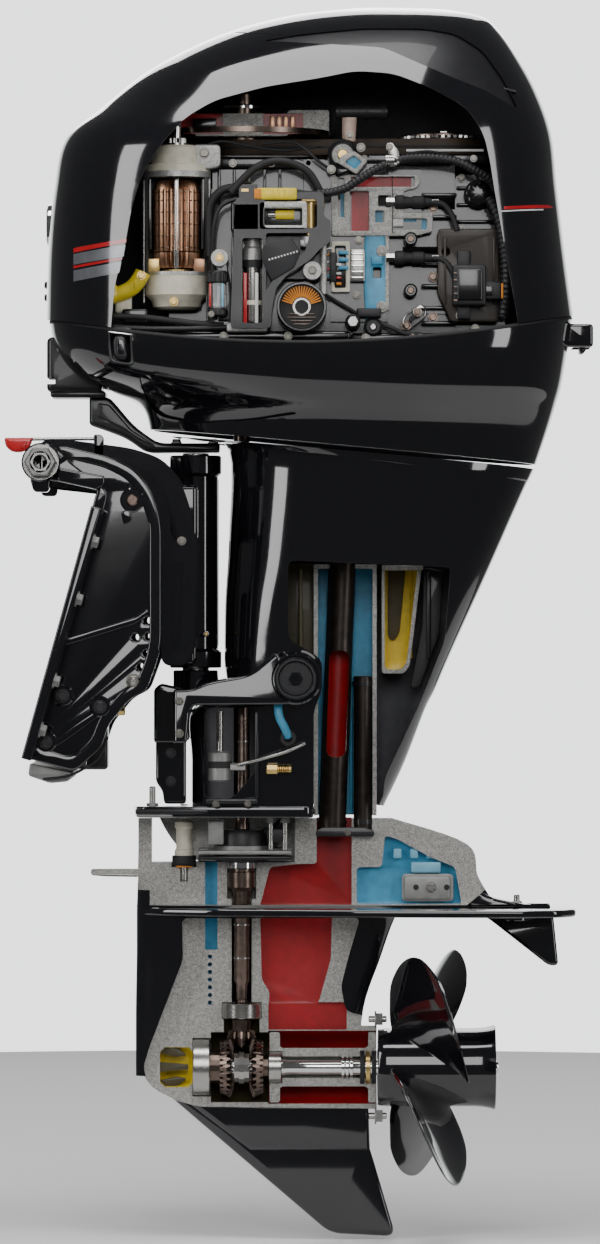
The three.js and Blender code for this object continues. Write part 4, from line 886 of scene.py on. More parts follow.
merge(
    swivel,
    *[merge(
          plate(
              "swivel_arm", ARM, *sided(s, 84, 105), GLOSS, radius=8, bevel=4, steps=8,
              holes=[(-65, 32, 14.4)]),
          plate(
              "swivel_arm_rim", ARM, *sided(s, 103, 108), GLOSS, radius=8, bevel=2, steps=8,
              holes=[(-65, 32, 14.4), [p + (8,) for p in ARM_POCKET], [p + (4,) for p in ARM_GROOVE]]),
          turned(
              "swivel_boss",
              [(14.4, s * 83), (21, s * 83), (22, s * 85), (22, s * 110), (20, s * 111.4),
               (14.4, s * 111.4), (14.4, s * 83)],
              GLOSS, None, (-65, 32), "Y", 64),
          plate(
              "ram_ear", [(18, 12), (70, 22), (96, 0), (96, -50), (40, -40), (16, -24)],
              *sided(s, 30, 44), GLOSS, radius=8, bevel=3, holes=[(42, -12, 7)]),
          plate(
              "swivel_gusset", [(84, -90), (112, -92), (114, -206), (98, -206)], *sided(s, 22, 40), GLOSS,
              radius=5, bevel=3),
          bolt("swivel_stop", 100, -60, s * 108, BOLT, None, 5, 5, s))
      for s in (-1, 1)],
    brick("swivel_cross", (84, 119), (-106, 106), (-60, 6), GLOSS, bevel=6),
    plate(
        "swivel_back", [(84, 30), (104, 0), (114, -60), (117, -205), (96, -205), (88, -90), (76, 0)], -34,
        34, GLOSS, radius=6, bevel=4),
    rod("grease_base", 4.6, -36, -24, STEEL, None, (128, -170), "Y", 1, 6),
    rod("grease_nipple", 2.4, -41, -35, BRASS, None, (128, -170), "Y", 0.8),
    plate(
        "lever_lug", [(-4, 40), (8, 40), (8, 62), (4, 66), (-4, 66)], -108, -103, GLOSS, radius=2,
        bevel=1),
    brick("column_rib", (137, 142.5), (-3, 3), (-185, 16), GLOSS, bevel=1.5), body="swivel")
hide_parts("swivel_bracket")
lever = merge(
    hose("lever_rod", [(-84, -96, 60.6), (-40, -96, 61), (0, -96, 61)], 2, STEEL),
    rod("lever_pivot", 4.6, -102, -90, STEEL, None, (2, 61), "Y"),
    plate(
        "lever_grip",
        [(-110.5, 62.5, 3), (-76, 62.5, 2), (-80, 51, 5), (-88, 45, 6), (-101, 45, 6), (-109, 52, 6)],
        -101, -91, TAG_RED, radius=3, bevel=2.4, steps=8),
    plate(
        "lever_grip_face", [(-107, 59.5), (-82, 59.5), (-86, 50), (-92, 47.5), (-100, 48), (-105, 53)],
        -101.6, -98, TAG_RED, radius=3, bevel=0.8),
    body="tilt_lock")
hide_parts("tilt_lock_lever")
pin = turned(
    "kingpin", [(0, -238), (15, -238), (16, -237), (16, 45), (15, 46), (0, 46)], STEEL, None, (115, 0),
    "Z", 64)
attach(pin, "motor")
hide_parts("swivel_pin")

# ------------------------------------------------------------------ steering arm and yoke
steer = plate(
    "steering_arm_body",
    [(-12, 113, 4), (12, 113, 8), (20, 104, 8), (42, 78, 12), (70, 58, 10), (144, 58, 3), (144, 46.8, 3),
     (56, 46.8, 10), (32, 64, 12), (14, 71, 8), (-12, 80, 4)],
    -26, 26, SATIN, radius=5, bevel=4.5, steps=8)
merge(
    steer,
    plate(
        "arm_rib", [(-2, 106), (12, 104), (38, 74), (66, 56), (66, 52), (34, 70), (10, 84), (-2, 88)],
        -29, 29, SATIN, radius=4, bevel=2),
    *[rod("arm_bush", 9, 108, 114.5, STEEL, None, (-1, y), "Z", 1.5) for y in (0,)],
    *[bolt("arm_bolt", x, y, 58, BOLT, None, 6, 5, 1, "Z")
      for x, y in ((92, 16), (92, -16), (136, 17), (136, -17))],
    body="motor")
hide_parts("steering_arm")
YOKE_ARM = [(90, -236, 3), (109, -236, 6), (132, -227, 14), (179, -219, 14), (214, -190, 8),
            (232, -254, 8), (110, -255, 10), (106, -300, 4), (90, -300, 3)]
yoke = brick("yoke_cross", (90, 104), (-98, 98), (-299, -237), GLOSS, bevel=3)
merge(
    yoke,
    plate(
        "yoke_front", [(66, -236), (74, -229), (104, -236), (104, -300), (66, -300)], -62, 62, GLOSS,
        radius=4, bevel=3.5),
    plate(
        "yoke_skirt", [(68, -290), (104, -290), (104, -373), (78, -373), (76, -358), (68, -346)], -48, 48,
        GLOSS, radius=4, bevel=3.5),
    turned(
        "yoke_neck",
        [(16.4, -239), (26, -239), (27, -238), (27, -215), (25.5, -213.6), (16.4, -213.6), (16.4, -239)],
        GLOSS, None, (115, 0), "Z", 64),
    *[merge(
          plate("yoke_arm", YOKE_ARM, *sided(s, 84, 99), GLOSS, radius=6, bevel=4, steps=8),
          turned(
              "mount_housing",
              [(0, s * 84), (29, s * 84), (31, s * 86), (31, s * 97), (29, s * 99), (27, s * 99),
               (26.4, s * 97.4), (0, s * 97.4)],
              GLOSS, None, (235, -223), "Y", 96),
          bolt("yoke_bolt", 97, -250, s * 98, BOLT, None, 5, 4, s),
          bolt("yoke_bolt_low", 97, -288, s * 98, BOLT, None, 5, 4, s))
      for s in (-1, 1)],
    *[bolt("skirt_bolt", 86, z, -48, SATIN, None, 6, 5) for z in (-312, -346)],
    *[bolt("skirt_bolt_starboard", 86, z, 48, SATIN, None, 6, 5, 1) for z in (-312, -346)], body="motor")
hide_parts("lower_yoke")
for s, node in ((-1, "lower_mount_port"), (1, "lower_mount_starboard")):
    mount = turned(
        "mount_rubber",
        [(0, s * 99.5), (23, s * 99.5), (25, s * 101.5), (25, s * 108.5), (23.4, s * 111), (21, s * 111),
         (19, s * 107), (0, s * 107)], SATIN, None, (235, -223), "Y", 96)
    merge(
        mount,
        turned("mount_washer", [(0, s * 106.8), (16.5, s * 106.8), (16.5, s * 108.4), (0, s * 108.4)],
               SATIN, None, (235, -223), "Y", 64),
        turned("mount_hex", [(0, s * 108), (8.6, s * 108), (8.6, s * 111.2), (7.8, s * 112), (4.6, s * 112),
                             (4.6, s * 109.6), (0, s * 109.6)], GLOSS, None, (235, -223), "Y", 6),
        body="motor")
    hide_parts(node)

# ------------------------------------------------------------------ starter motor
SX, SY = 94, -95
starter = turned(
    "starter_case", [(34.5, 254), (38, 254), (38, 377), (34.5, 377), (34.5, 254)], CAST, None, (SX, SY),
    "Z", 72)
carve(starter, brick("starter_cutaway", (SX - 33, SX + 33), (-150, SY), (258, 373), CUT, bevel=0))
starter_top = merge(
    turned(
        "starter_nose",
        [(14, 377), (39, 377), (39, 385), (31, 386), (30, 405), (27, 408), (14, 408), (14, 377)], CREAM,
        None, (SX, SY), "Z", 64),
    plate(
        "starter_lug", [(112, 409), (146, 409), (146, 382), (112, 376)], -114, -84, CAST, radius=6,
        bevel=2),
    bolt("starter_lug_bolt", 127, 398.5, -114, BOLT, None, 6.5, 6),
    turned(
        "starter_flange", [(14, 370), (40, 370), (40, 377), (14, 377), (14, 370)], CAST, None, (SX, SY),
        "Z", 64),
    turned(
        "starter_collar", [(6, 408), (15, 408), (15, 411), (6, 411), (6, 408)], STEEL, None, (SX, SY),
        "Z", 40))
merge(
    starter, starter_top,
    turned(
        "starter_cap",
        [(0, 214), (22, 214), (28, 217), (30, 224), (37, 231), (37.5, 254), (36, 256), (0, 256)], CREAM,
        None, (SX, SY), "Z", 64),
    *[rod("starter_tie", 2.2, 222, 380, STEEL, None, (SX + dx, SY + dy))
      for dx, dy in ((-39, 8), (38, 12))],
    bolt("starter_nut_low", SX - 3, 222, -128, BRASS, None, 5, 7),
    brick("brush_box", (SX - 34, SX - 20), (-112, -84), (258, 274), BRASS, bevel=1),
    brick("brush_box_right", (SX + 20, SX + 34), (-112, -84), (258, 274), COPPER, bevel=1),
    *[brick("field_magnet", (SX + a, SX + a + 4), (-118, -72), (284, 368), BLOCK, bevel=1)
      for a in (-33.5, 29.5)],
    body="motor")
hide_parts("starter_housing")
armature = turned(
    "armature_stack", [(8, 282), (27, 282), (27.5, 284), (27.5, 354), (27, 356), (8, 356), (8, 282)],
    COPPER, None, (SX, SY), "Z", 192, 25, (24, 0.05))
merge(
    armature,
    turned("winding_low", [(8, 262), (22, 263), (25, 268), (26, 281), (8, 281), (8, 262)], COPPER,
           None, (SX, SY), "Z", 96, 25, (24, 0.07)),
    turned("winding_top", [(8, 356), (25, 356), (24, 362), (20, 367), (8, 367), (8, 356)], COPPER,
           None, (SX, SY), "Z", 96, 25, (24, 0.07)),
    turned("commutator", [(8, 246), (18, 246), (18, 261), (8, 261), (8, 246)], BRASS,
           None, (SX, SY), "Z", 96, 25, (24, 0.02)),
    *[turned("lamination", [(20, z), (28, z), (28, z + 1), (20, z + 1), (20, z)], DARK_STEEL, None,
             (SX, SY), "Z", 64) for z in (286, 300, 314, 328, 342, 352)],
    rod("armature_shaft", 4.5, 240.5, 432, CHROME, None, (SX, SY)),
    brick("armature_key", (SX - 2.5, SX + 2.5), (SY - 28.6, SY - 24), (262, 366), STEEL, bevel=0.6),
    body="starter_rotor",
)
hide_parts("starter_armature")
pinion = turned(
    "starter_gear", [(5.2, 404), (10.5, 404), (10.5, 417), (5.2, 417), (5.2, 404)], STEEL, None, (SX, SY),
    "Z", 120, 20, (10, 0.12))
merge(
    pinion,
    turned(
        "starter_clutch",
        [(5.2, 379), (11, 379), (12, 380), (12, 402), (11, 404), (5.2, 404), (5.2, 379)], CHROME, None,
        (SX, SY), "Z", 48),
    body="starter_drive")
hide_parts("starter_pinion")

# ------------------------------------------------------------------ flywheel, belt and top end
CRANK = (170, 0)
wheel = turned(
    "flywheel_disc",
    [(16.5, 425), (60, 425), (62, 428), (96, 428), (98, 424.5), (107, 424.5), (108, 426), (108, 454),
     (106.5, 456), (64, 456), (60, 452), (20, 452), (16.5, 452), (16.5, 425)],
    BLOCK, None, CRANK, "Z", 96)
carve(
    wheel, brick("flywheel_flat", (40, 300), (-140, -26), (420, 460), CUT, bevel=0),
    brick("magnet_slot_port", (98, 148), (-60, -22), (427.5, 452), RED, bevel=0),
    brick("magnet_slot_aft", (196, 244), (-60, -22), (427.5, 452), RED, bevel=0))
merge(
    wheel, brick("magnet_port", (112, 140), (-28, -20), (434, 446), BLOCK, bevel=1),
    *[brick("coil_aft", (204 + 8 * i, 210 + 8 * i), (-30, -20), (431, 449), COPPER, bevel=1)
      for i in range(4)],
    turned(
        "ring_teeth", [(100, 424.6), (107.8, 424.6), (107.8, 431), (100, 431), (100, 424.6)], DARK_STEEL,
        None, CRANK, "Z", 96),
    body="crank")
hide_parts("flywheel")
crank = turned(
    "crank_nose",
    [(0, 113), (19.5, 113), (19.5, 396), (25, 398), (25, 401), (22.8, 402), (22.8, 420), (25, 421),
     (25, 423), (16, 424), (16, 462), (14.5, 464), (14.5, 476), (13, 478), (0, 478)],
    DARK_STEEL, None, CRANK, "Z", 64)
merge(
    crank,
    turned(
        "pulley_teeth", [(21, 402), (23.8, 402), (23.8, 420), (21, 420), (21, 402)], STEEL, None, CRANK,
        "Z", 160, 20, (20, 0.03)),
    bolt("crank_nut", *CRANK, 464, STEEL, None, 12.5, 9, 1, "Z"),
    turned("crank_washer", [(0, 459), (26, 459), (26, 462), (0, 463)], CHROME, None, CRANK, "Z", 48),
    body="crank")
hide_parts("crankshaft")


def belt_line(grow):
    """The belt's closed path round both pulleys, grown outward."""
    line = []
    for x, r in ((170, 25.6), (412, 50.6)):
        lean = math.asin((50.6 - 25.6) / 242)
        span = math.pi / 2 + (lean if x == 412 else -lean)
        start = 0 if x == 412 else math.pi
        line += [(x + (r + grow) * math.cos(start - span + 2 * span * k / 40),
                  (r + grow) * math.sin(start - span + 2 * span * k / 40)) for k in range(41)]
    return line


belt = plate("belt_band", belt_line(3.4), 401.5, 420.5, BELT, bevel=0.6, axis="Z", holes=[belt_line(0.4)])
merge(
    belt,
    plate("belt_edge", belt_line(3.9), 409.5, 412.5, RUBBER, bevel=0.3, axis="Z", holes=[belt_line(2.5)]),
    *[brick("belt_tooth", (x, x + 3.4), (-r, 4 - r), (402, 420), RUBBER, bevel=0.4)
      for x, r in [(182 + 8 * i, 26.8 + 0.83 * i) for i in range(27)]],
    body="motor")
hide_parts("timing_belt")
sprocket = turned(
    "cam_wheel",
    [(8.5, 402), (30, 402), (34, 404), (42, 404), (48, 400.5), (49.8, 400.5), (49.8, 424), (54, 424),
     (54, 426), (20, 426), (18, 430), (8.5, 430), (8.5, 402)],
    DARK_STEEL, None, (412, 0), "Z", 96)
merge(
    sprocket,
    turned(
        "cam_teeth", [(52, 421.5), (54.6, 421.5), (54.6, 424.5), (52, 424.5), (52, 421.5)], STEEL, None,
        (412, 0), "Z", 192, 20, (48, 0.016)),
    rod("cam_shaft", 8, 306, 401, STEEL, None, (412, 0)),
    bolt("cam_bolt", 412, 0, 426, STEEL, None, 9, 7, 1, "Z"), body="camshaft")
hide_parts("cam_sprocket")
breather = rod("breather_can", 9, 281, 346, PLASTIC, None, (-60, 451), "X", 2)
merge(
    breather,
    *[turned(
          "breather_band", [(9, x), (9.8, x), (9.8, x + 3), (9, x + 3), (9, x)], RUBBER, None, (-60, 451),
          "X")
      for x in (286, 318, 338)],
    plate(
        "breather_bracket", [(290, 447), (308, 447), (306, 414), (290, 418)], -66, -60, DARK_STEEL,
        radius=2, bevel=0.8),
    bolt("breather_bolt", 299, 423, -66, BOLT, None, 4, 4), body="motor")
merge(
    brick("belt_guard_rail", (300, 462), (-86, -62), (388, 399), BLOCK, bevel=2),
    brick("belt_guard_lip", (366, 458), (-90, -84), (402, 405), WHITE, bevel=0.8),
    *[bolt("rail_bolt", x, 394, -86, BOLT, None, 4, 4) for x in (316, 392, 446)], body="motor")
merge(
    brick("front_rail", (128, 292), (-78, -52), (382, 396), BLOCK, bevel=3),
    *[bolt("front_rail_bolt", x, 389, -78, BOLT, None, 4.5, 4) for x in (160, 206, 250)],
    brick("oil_pump_top", (128, 252), (-66, -30), (396, 400), BLOCK, bevel=1.5),
    *[brick("front_rib", (x, x + 4), (-82, -60), (340, 382), BLOCK, bevel=1.2)
      for x in (142, 160, 178, 196, 214)],
    body="motor")

# ------------------------------------------------------------------ cut block and head
cut_block = plate(
    "cut_block",
    [(277, 373), (378, 373), (383, 365), (378, 357.5), (362.5, 354), (362.5, 329), (397, 329), (397, 306),
     (375.5, 301), (277, 301)],
    -106, -93, CUT, radius=3, bevel=0.8, steps=4,
    holes=[[(285, 369.5), (292, 369.5), (292, 323), (285, 323)],
           [(299, 354), (321.5, 354), (321.5, 307), (299, 307)],
           [(300, 371), (375.5, 371), (375.5, 359), (300, 359)],
           [(332.5, 349), (348, 349), (348, 335), (332.5, 335)],
           [(329, 331), (339.5, 331), (339.5, 317), (329, 317)],
           [(350.5, 321.5), (390, 321.5), (390, 308.5), (350.5, 308.5)],
           [(351, 350.5), (354.5, 350.5), (354.5, 331), (351, 331)]])
merge(
    cut_block,
    *[brick("passage_wall", x, (-95, -90), z, mat, bevel=0)
      for x, z, mat in (((278.5, 293), (302.5, 372), BLUE), ((296.5, 323), (302.5, 356.5), RED),
                        ((296.5, 379), (356.5, 372), RED), ((326.5, 355), (332.5, 351.5), RUBBER),
                        ((326.5, 348), (314.5, 332.5), BLUE), ((348, 393.5), (306, 323), BLUE))],
    brick("gasket_seam", (349, 350), (-106.6, -100), (304, 372), RUBBER, bevel=0),
    plate(
        "valve_pocket", [(323, 354), (362.5, 354), (362.5, 312), (323, 312)], -104.6, -96, CAST, radius=2,
        bevel=0.6,
        holes=[[(332.5, 349), (348, 349), (348, 335), (332.5, 335)],
               [(329, 331), (339.5, 331), (339.5, 317), (329, 317)]]),
    body="motor")
water_wall = plate(
    "water_wall",
    [(317, 305), (341, 305), (341, 288), (345.5, 283), (345.5, 221), (341, 212.5), (317, 212.5),
     (314.5, 259)],
    -104, -93, BLUE, radius=3, bevel=1.5, holes=[[(326.5, 264), (336, 264), (336, 251), (326.5, 251)]])
merge(
    water_wall,
    plate(
        "water_wall_edge", [(341, 302.5), (345.5, 302.5), (345.5, 213.5), (341, 213.5)], -104.6, -93, CUT,
        radius=1, bevel=0.5),
    *[rod("water_ear", 7, -105, -93, CUT, None, (337, z), "Y") for z in (283, 217)],
    *[bolt("ear_bolt", 337, z, -105, BOLT, None, 4, 3.5) for z in (283, 217)],
    brick("water_port", (324, 338.5), (-107, -100), (266.5, 277), BLUE, bevel=2),
    brick("water_drop", (317, 329), (-101, -92), (189.5, 249.5), PALE_BLUE, bevel=1), body="motor")

# ------------------------------------------------------------------ thermostat and top fittings
thermo = turned(
    "thermostat_body",
    [(0, -84), (18, -84), (18.5, -100), (17.4, -116), (13.5, -117), (12.8, -112), (0, -112)], BLOCK, None,
    (290.5, 397), "Y", 64)
merge(
    thermo,
    turned(
        "thermostat_seal", [(0, -112), (12, -112), (12, -114), (9, -114.5), (0, -113)], CUT, None,
        (290.5, 397), "Y", 48),
    rod("thermostat_core", 6, -118, -112, BRASS, None, (290.5, 397), "Y"),
    plate(
        "outlet_flange", [(303.5, 401), (320.5, 389), (307, 373), (284.5, 386.5), (289, 395)], -120, -100,
        CUT, radius=3, bevel=1, holes=[[(303.5, 395), (313, 387.5), (305, 379), (293, 387.5)]]),
    plate(
        "outlet_water", [(303.5, 396), (314.5, 387.5), (305, 378), (291.5, 387.5)], -117, -104, BLUE,
        bevel=0.5),
    bolt("outlet_bolt_top", 312, 405, -116, BOLT, None, 5, 5),
    bolt("outlet_bolt_low", 277, 379, -116, BOLT, None, 5, 5),
    plate(
        "outlet_neck", [(277, 386.5), (294, 401), (302.5, 377), (283, 369.5)], -112, -88, BLOCK, radius=4,
        bevel=3),
    body="motor")
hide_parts("thermostat_housing")

# ------------------------------------------------------------------ hoses and looms
merge(
    hose(
        "bypass_hose_low",
        [(134.5, -124, 276), (133, -124, 308.5), (134.5, -125, 336), (145, -127, 351.5),
         (159.5, -128, 356.5), (176.5, -128, 356.5)],
        5.2, RUBBER),
    hose(
        "bypass_hose_top",
        [(158.5, -136, 350.5), (171.5, -136, 365), (189.5, -137, 380.5), (211, -137, 387.5),
         (233, -137, 384), (251, -136, 373), (264, -132, 351.5)],
        4.6, RUBBER),
    hose(
        "vapour_line",
        [(165.5, -140, 343), (146.5, -141, 333.5), (139, -140, 312), (137, -134, 276), (137, -132, 259)],
        2.6, PLASTIC),
    hose(
        "main_conduit",
        [(261.5, -140, 349), (278.5, -143, 350.5), (294, -145, 355), (309.5, -146, 365),
         (326.5, -146, 375.5), (345.5, -145, 385), (366, -144, 390), (393.5, -142, 391),
         (422.5, -139, 387.5), (444, -134, 378), (464.5, -126, 366), (471.5, -118, 355)],
        5.4, PLASTIC, None, 5, 0.14),
    hose("conduit_start", [(235, -133, 351.5), (249.5, -137, 349), (266.5, -141, 349)], 3.4, RUBBER),
    hose(
        "coil_loom",
        [(464.5, -118, 344.5), (475, -124, 319), (482.5, -126, 276), (483.5, -126, 240),
         (480, -122, 205)],
        7.2, PLASTIC, None, 6, 0.16),
    hose(
        "sensor_wire",
        [(276, -112, 379), (261.5, -118, 389), (240, -112, 408), (223, -100, 413), (194.5, -92, 410.5)],
        1.8, RUBBER),
    hose(
        "top_wire",
        [(123.5, -112, 405.5), (146.5, -106, 413), (180, -96, 408), (221, -94, 403), (266.5, -96, 408)],
        1.6, RUBBER),
    hose(
        "rear_wire",
        [(366, -100, 398.5), (393.5, -104, 401), (422.5, -108, 393.5), (444, -108, 379),
         (453.5, -104, 362.5)],
        1.7, RUBBER),
    body="motor")
merge(
    plate(
        "loom_clip", [(341, 408), (349, 409), (356.5, 398.5), (357.5, 383), (348, 379), (344.5, 395)],
        -149, -147.5, STEEL, radius=3, bevel=0.6),
    turned(
        "loom_clip_ring", [(6.2, 341), (7.6, 341), (7.6, 351), (6.2, 351), (6.2, 341)], STEEL, None,
        (-145, 388), "X", 40),
    bolt("loom_clip_bolt", 345.5, 403, -149, BOLT, None, 4, 4),
    *[turned(
          "hose_clip", [(r, x - 3), (r + 1.4, x - 3), (r + 1.4, x + 3), (r, x + 3), (r, x - 3)],
          BRASS if r > 5 else STEEL, None, (y, z), "X", 40)
      for x, y, z, r in ((179, -128, 356.5, 5.2), (170, -128, 356.5, 5.2))],
    body="motor")

# ------------------------------------------------------------------ vapour tank, injector and rail
merge(
    brick("tank_top", (158.5, 194.5), (-150, -112), (302.5, 339.5), BLOCK, bevel=4),
    rod("tank_nipple", 6.5, 336, 350, BLOCK, None, (175, -131)),
    rod("tank_cap", 8.5, 350, 356, BRASS, None, (175, -131), chamfer=1.5, sides=6),
    plate(
        "tank_frame", [(191, 339.5), (248.5, 339.5), (248.5, 305), (191, 305)], -150, -132, CAST,
        radius=5, bevel=1.5, holes=[[(198, 331), (242.5, 331), (242.5, 311), (198, 311)]]),
    brick("frame_back", (197, 245), (-136, -132), (307, 333.5), BLOCK, bevel=1),
    rod("injector_body", 5.5, 211, 233, YELLOW, None, (-139, 324), "X"),
    rod("injector_tip", 3.6, 201.5, 213.5, STEEL, None, (-139, 324), "X"),
    brick("injector_plug", (188.5, 236.5), (-152, -140), (341, 355), YELLOW, bevel=2.5),
    brick("injector_plug_end", (186, 194.5), (-152.6, -139.6), (342, 354), ORANGE, bevel=1),
    *[brick("plug_rib", (a, a + 2.4), (-153, -150), (342, 354), YELLOW, bevel=0.6)
      for a in (206, 213, 220)],
    rod("rail_tee", 7.5, 241, 269, BRASS, None, (-138, 341), "X", 1.5),
    rod("rail_tee_down", 7, 299, 343, BRASS, None, (253, -138)),
    rod("rail_flange", 11.5, 288, 299, CAST, None, (253, -138), "Z", 1.5),
    brick("rail_foot", (240, 267.5), (-146, -120), (285.5, 295), CAST, bevel=2),
    hose(
        "rail_arm",
        [(253, -138, 285.5), (247, -138, 273.5), (235, -137, 263), (217, -136, 252), (205, -134, 234),
         (200.5, -132, 213.5), (199, -130, 191)],
        4.8, CAST),
    rod("drop_tube", 5.4, 191, 299, STEEL, None, (166, -136)),
    rod("side_tube", 4.2, 230.5, 302.5, CAST, None, (267.5, -128)),
    turned(
        "mount_ring", [(4.5, -146), (10.5, -146), (11, -144), (11, -122), (4.5, -122), (4.5, -146)], CAST,
        None, (254.5, 258), "Y", 48),
    bolt("mount_bolt", 254.5, 258, -146, BOLT, None, 5.4, 4),
    turned(
        "lift_ring", [(4, -138), (10, -138), (10, -118), (4, -118), (4, -138)], CAST, None, (145, 273.5),
        "Y", 48),
    bolt("lift_bolt", 145, 273.5, -138, BRASS, None, 4.8, 4),
    plate(
        "bracket_leg", [(138, 269), (153.5, 269), (161, 230.5), (161, 199), (143, 199)], -122, -117,
        BLOCK, radius=3, bevel=1.2),
    body="motor")
pump = merge(
    turned(
        "pump_can", [(0, 198), (10, 198), (10.5, 200), (10.5, 262), (0, 262)], STEEL, None, (184, -132),
        "Z", 64),
    turned(
        "pump_band", [(0, 262), (12.4, 262), (12.4, 271), (0, 271)], RUBBER, None, (184, -132), "Z", 64),
    turned(
        "pump_head", [(0, 271), (12, 271), (12, 284), (9, 287), (7, 304), (0, 304)], CAST, None,
        (184, -132), "Z", 64),
    turned(
        "pump_collar", [(0, 218), (11.4, 218), (11.4, 223), (0, 223)], CREAM, None, (184, -132), "Z", 64),
    brick("pump_glass", (173, 177.5), (-144, -141), (195.5, 255.5), TAG_RED, bevel=0.8),
    brick("pump_stripe", (187, 191), (-143, -139), (195.5, 255.5), WHITE, bevel=0.8),
    brick("pump_cradle", (158.5, 199), (-122, -112), (190, 300), CAST, bevel=3),
    brick("pump_cradle_rib", (194.5, 200.5), (-136, -112), (192, 296), CAST, bevel=1.5),
    brick("pump_cradle_foot", (153.5, 201.5), (-140, -112), (186, 196), CAST, bevel=2), body="motor")
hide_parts("fuel_pump")
merge(
    rod("strainer_cap", 12, 243.5, 258, PLASTIC, None, (143, -138), "Z", 2),
    turned(
        "strainer_ribs", [(11.6, 245), (12.4, 245), (12.4, 254), (11.6, 254), (11.6, 245)], PLASTIC, None,
        (143, -138), "Z", 96, 20, (24, 0.03)),
    rod("strainer_bowl", 10.8, 213.5, 243.5, GLASS, None, (143, -138), "Z", 2),
    rod("strainer_core", 4, 216, 242.5, WHITE, None, (143, -138)),
    brick("strainer_tell", (133, 135.5), (-150.5, -148), (215, 242.5), TAG_RED, bevel=0.5),
    brick("strainer_tell_blue", (147.5, 150), (-150, -147.5), (215, 242.5), PALE_BLUE, bevel=0.5),
    rod("strainer_foot", 12, 204, 213.5, PLASTIC, None, (143, -138), "Z", 2),
    bolt("strainer_screw", 135.5, 206.5, -150, BOLT, None, 3.6, 3), body="motor")
fan_plate = plate(
    "canister_shield", [(197, 288), (229, 297.5), (241, 279.5), (233, 260.5), (206.5, 245), (194.5, 271)],
    -152, -149, PLASTIC, radius=4, bevel=1)
merge(
    fan_plate,
    *[brick("shield_mark", (a, a + 2), (-152.6, -151), (b, b + 2), WHITE, bevel=0.3, turn=-17)
      for a, b in [(203 + 3.6 * i, 269.5 + 1.05 * i) for i in range(10)]],
    body="motor")

# ------------------------------------------------------------------ oil filter, cut open
FILTER = (242, 215)
can = turned(
    "filter_can",
    [(18, -84), (18, -104), (27, -105), (29.5, -108), (29.5, -156), (28.5, -158), (26.5, -158),
     (26.5, -112), (20, -109), (18, -84)],
    BLOCK, None, FILTER, "Y", 96)
merge(
    can, rod("filter_disc", 26.6, -153, -112, RUBBER, None, FILTER, "Y", 1, 64),
    *[brick(
          "filter_pleat", (FILTER[0] + 18 * math.cos(a) - 6.5, FILTER[0] + 18 * math.cos(a) + 6.5),
          (-155.5, -130), (FILTER[1] + 18 * math.sin(a) - 0.8, FILTER[1] + 18 * math.sin(a) + 0.8),
          ORANGE, bevel=0.3, turn=-math.degrees(a))
      for a in [math.radians(18 + 8 * i) for i in range(19)]],
    turned(
        "filter_core", [(8, -154), (10.5, -154), (10.5, -150), (8, -150), (8, -154)], STEEL, None, FILTER,
        "Y", 40),
    *[brick(
          "filter_rule", (FILTER[0] - w, FILTER[0] + w), (-154.4, -152), (z, z + 1), DARK_STEEL,
          bevel=0.2)
      for w, z in ((15, 206), (17, 202), (13, 198), (10, 194))],
    body="motor")
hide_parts("oil_filter")

# ------------------------------------------------------------------ relays and fuses
relays = merge(
    plate(
        "relay_frame", [(277, 294), (299, 294), (299, 234), (277, 234)], -114, -98, CREAM, radius=2,
        bevel=1, holes=[[(281, 289), (294, 289), (294, 239), (281, 239)]]),
    brick("relay_back", (277, 299), (-104, -98), (235, 293), BLOCK, bevel=0.6),
    brick("relay_bar", (275, 283), (-117, -106), (246, 281), PLASTIC, bevel=1),
    *[brick("relay_plug", (285.5, 297.5), (-118, -104), (z, z + 4.5), BLUE, bevel=0.8)
      for z in (278.5, 270, 260.5)],
    *[brick("fuse", (283, 289), (-117, -104), (z, z + 3), mat, bevel=0.6)
      for z, mat in ((249.5, TAG_RED), (254.5, WHITE), (265, WHITE), (242.5, ORANGE))],
    brick("relay_cover", (299, 317), (-113, -100), (246, 285.5), STEEL, bevel=2),
    *[brick("relay_fin", (300, 315.5), (-114.2, -112), (z, z + 2.4), CHROME, bevel=0.5)
      for z in (250, 257, 264, 271, 278)],
    bolt("relay_bolt_top", 309.5, 296.5, -104, BOLT, None, 4.4, 4),
    bolt("relay_bolt_low", 307, 231.5, -104, BOLT, None, 4.4, 4), body="motor")
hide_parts("relay_block")
for i, (z, mat) in enumerate(((286, WHITE), (280, ORANGE), (272, WHITE), (264, TAG_RED), (257, BLUE))):
    hose(f"fuse_lead_{i}",
         [(280, -112, z), (270, -117, z - 2 - i), (265, -118, z - 14), (268, -114, z - 32)],
         1.0, mat, "motor")

# ------------------------------------------------------------------ plugs, coil and throttle
for i, z in enumerate((341, 275)):
    plug = turned(
        f"plug_boot_{i}",
        [(0, 352), (7, 352), (8.5, 354), (8.5, 362), (7, 364), (6, 372), (7.4, 374), (7.4, 386),
         (5.4, 388), (4.6, 396), (0, 397)], RUBBER, None, (-106, z), "X", 48)
    merge(plug,
          turned("plug_steel", [(0, 342), (5.5, 342), (5.5, 353), (0, 353)], STEEL, None, (-106, z),
                 "X", 6),
          turned("plug_white", [(0, 386), (3.4, 386), (3.4, 404), (0, 404)], WHITE, None, (-106, z), "X",
                 32),
          hose("plug_lead", [(396, -106, z), (410, -108, z - 3), (420, -110, z - 16), (426, -112, z - 34)],
               3.4, RUBBER), body="motor")
for z in (297.5, 236.5):
    boss = merge(
        rod("head_boss", 8, -110, -90, BLOCK, None, (371, z), "Y", 2),
        rod("head_boss_core", 4.4, -112, -100, DARK_STEEL, None, (371, z), "Y", 1),
        body="motor")
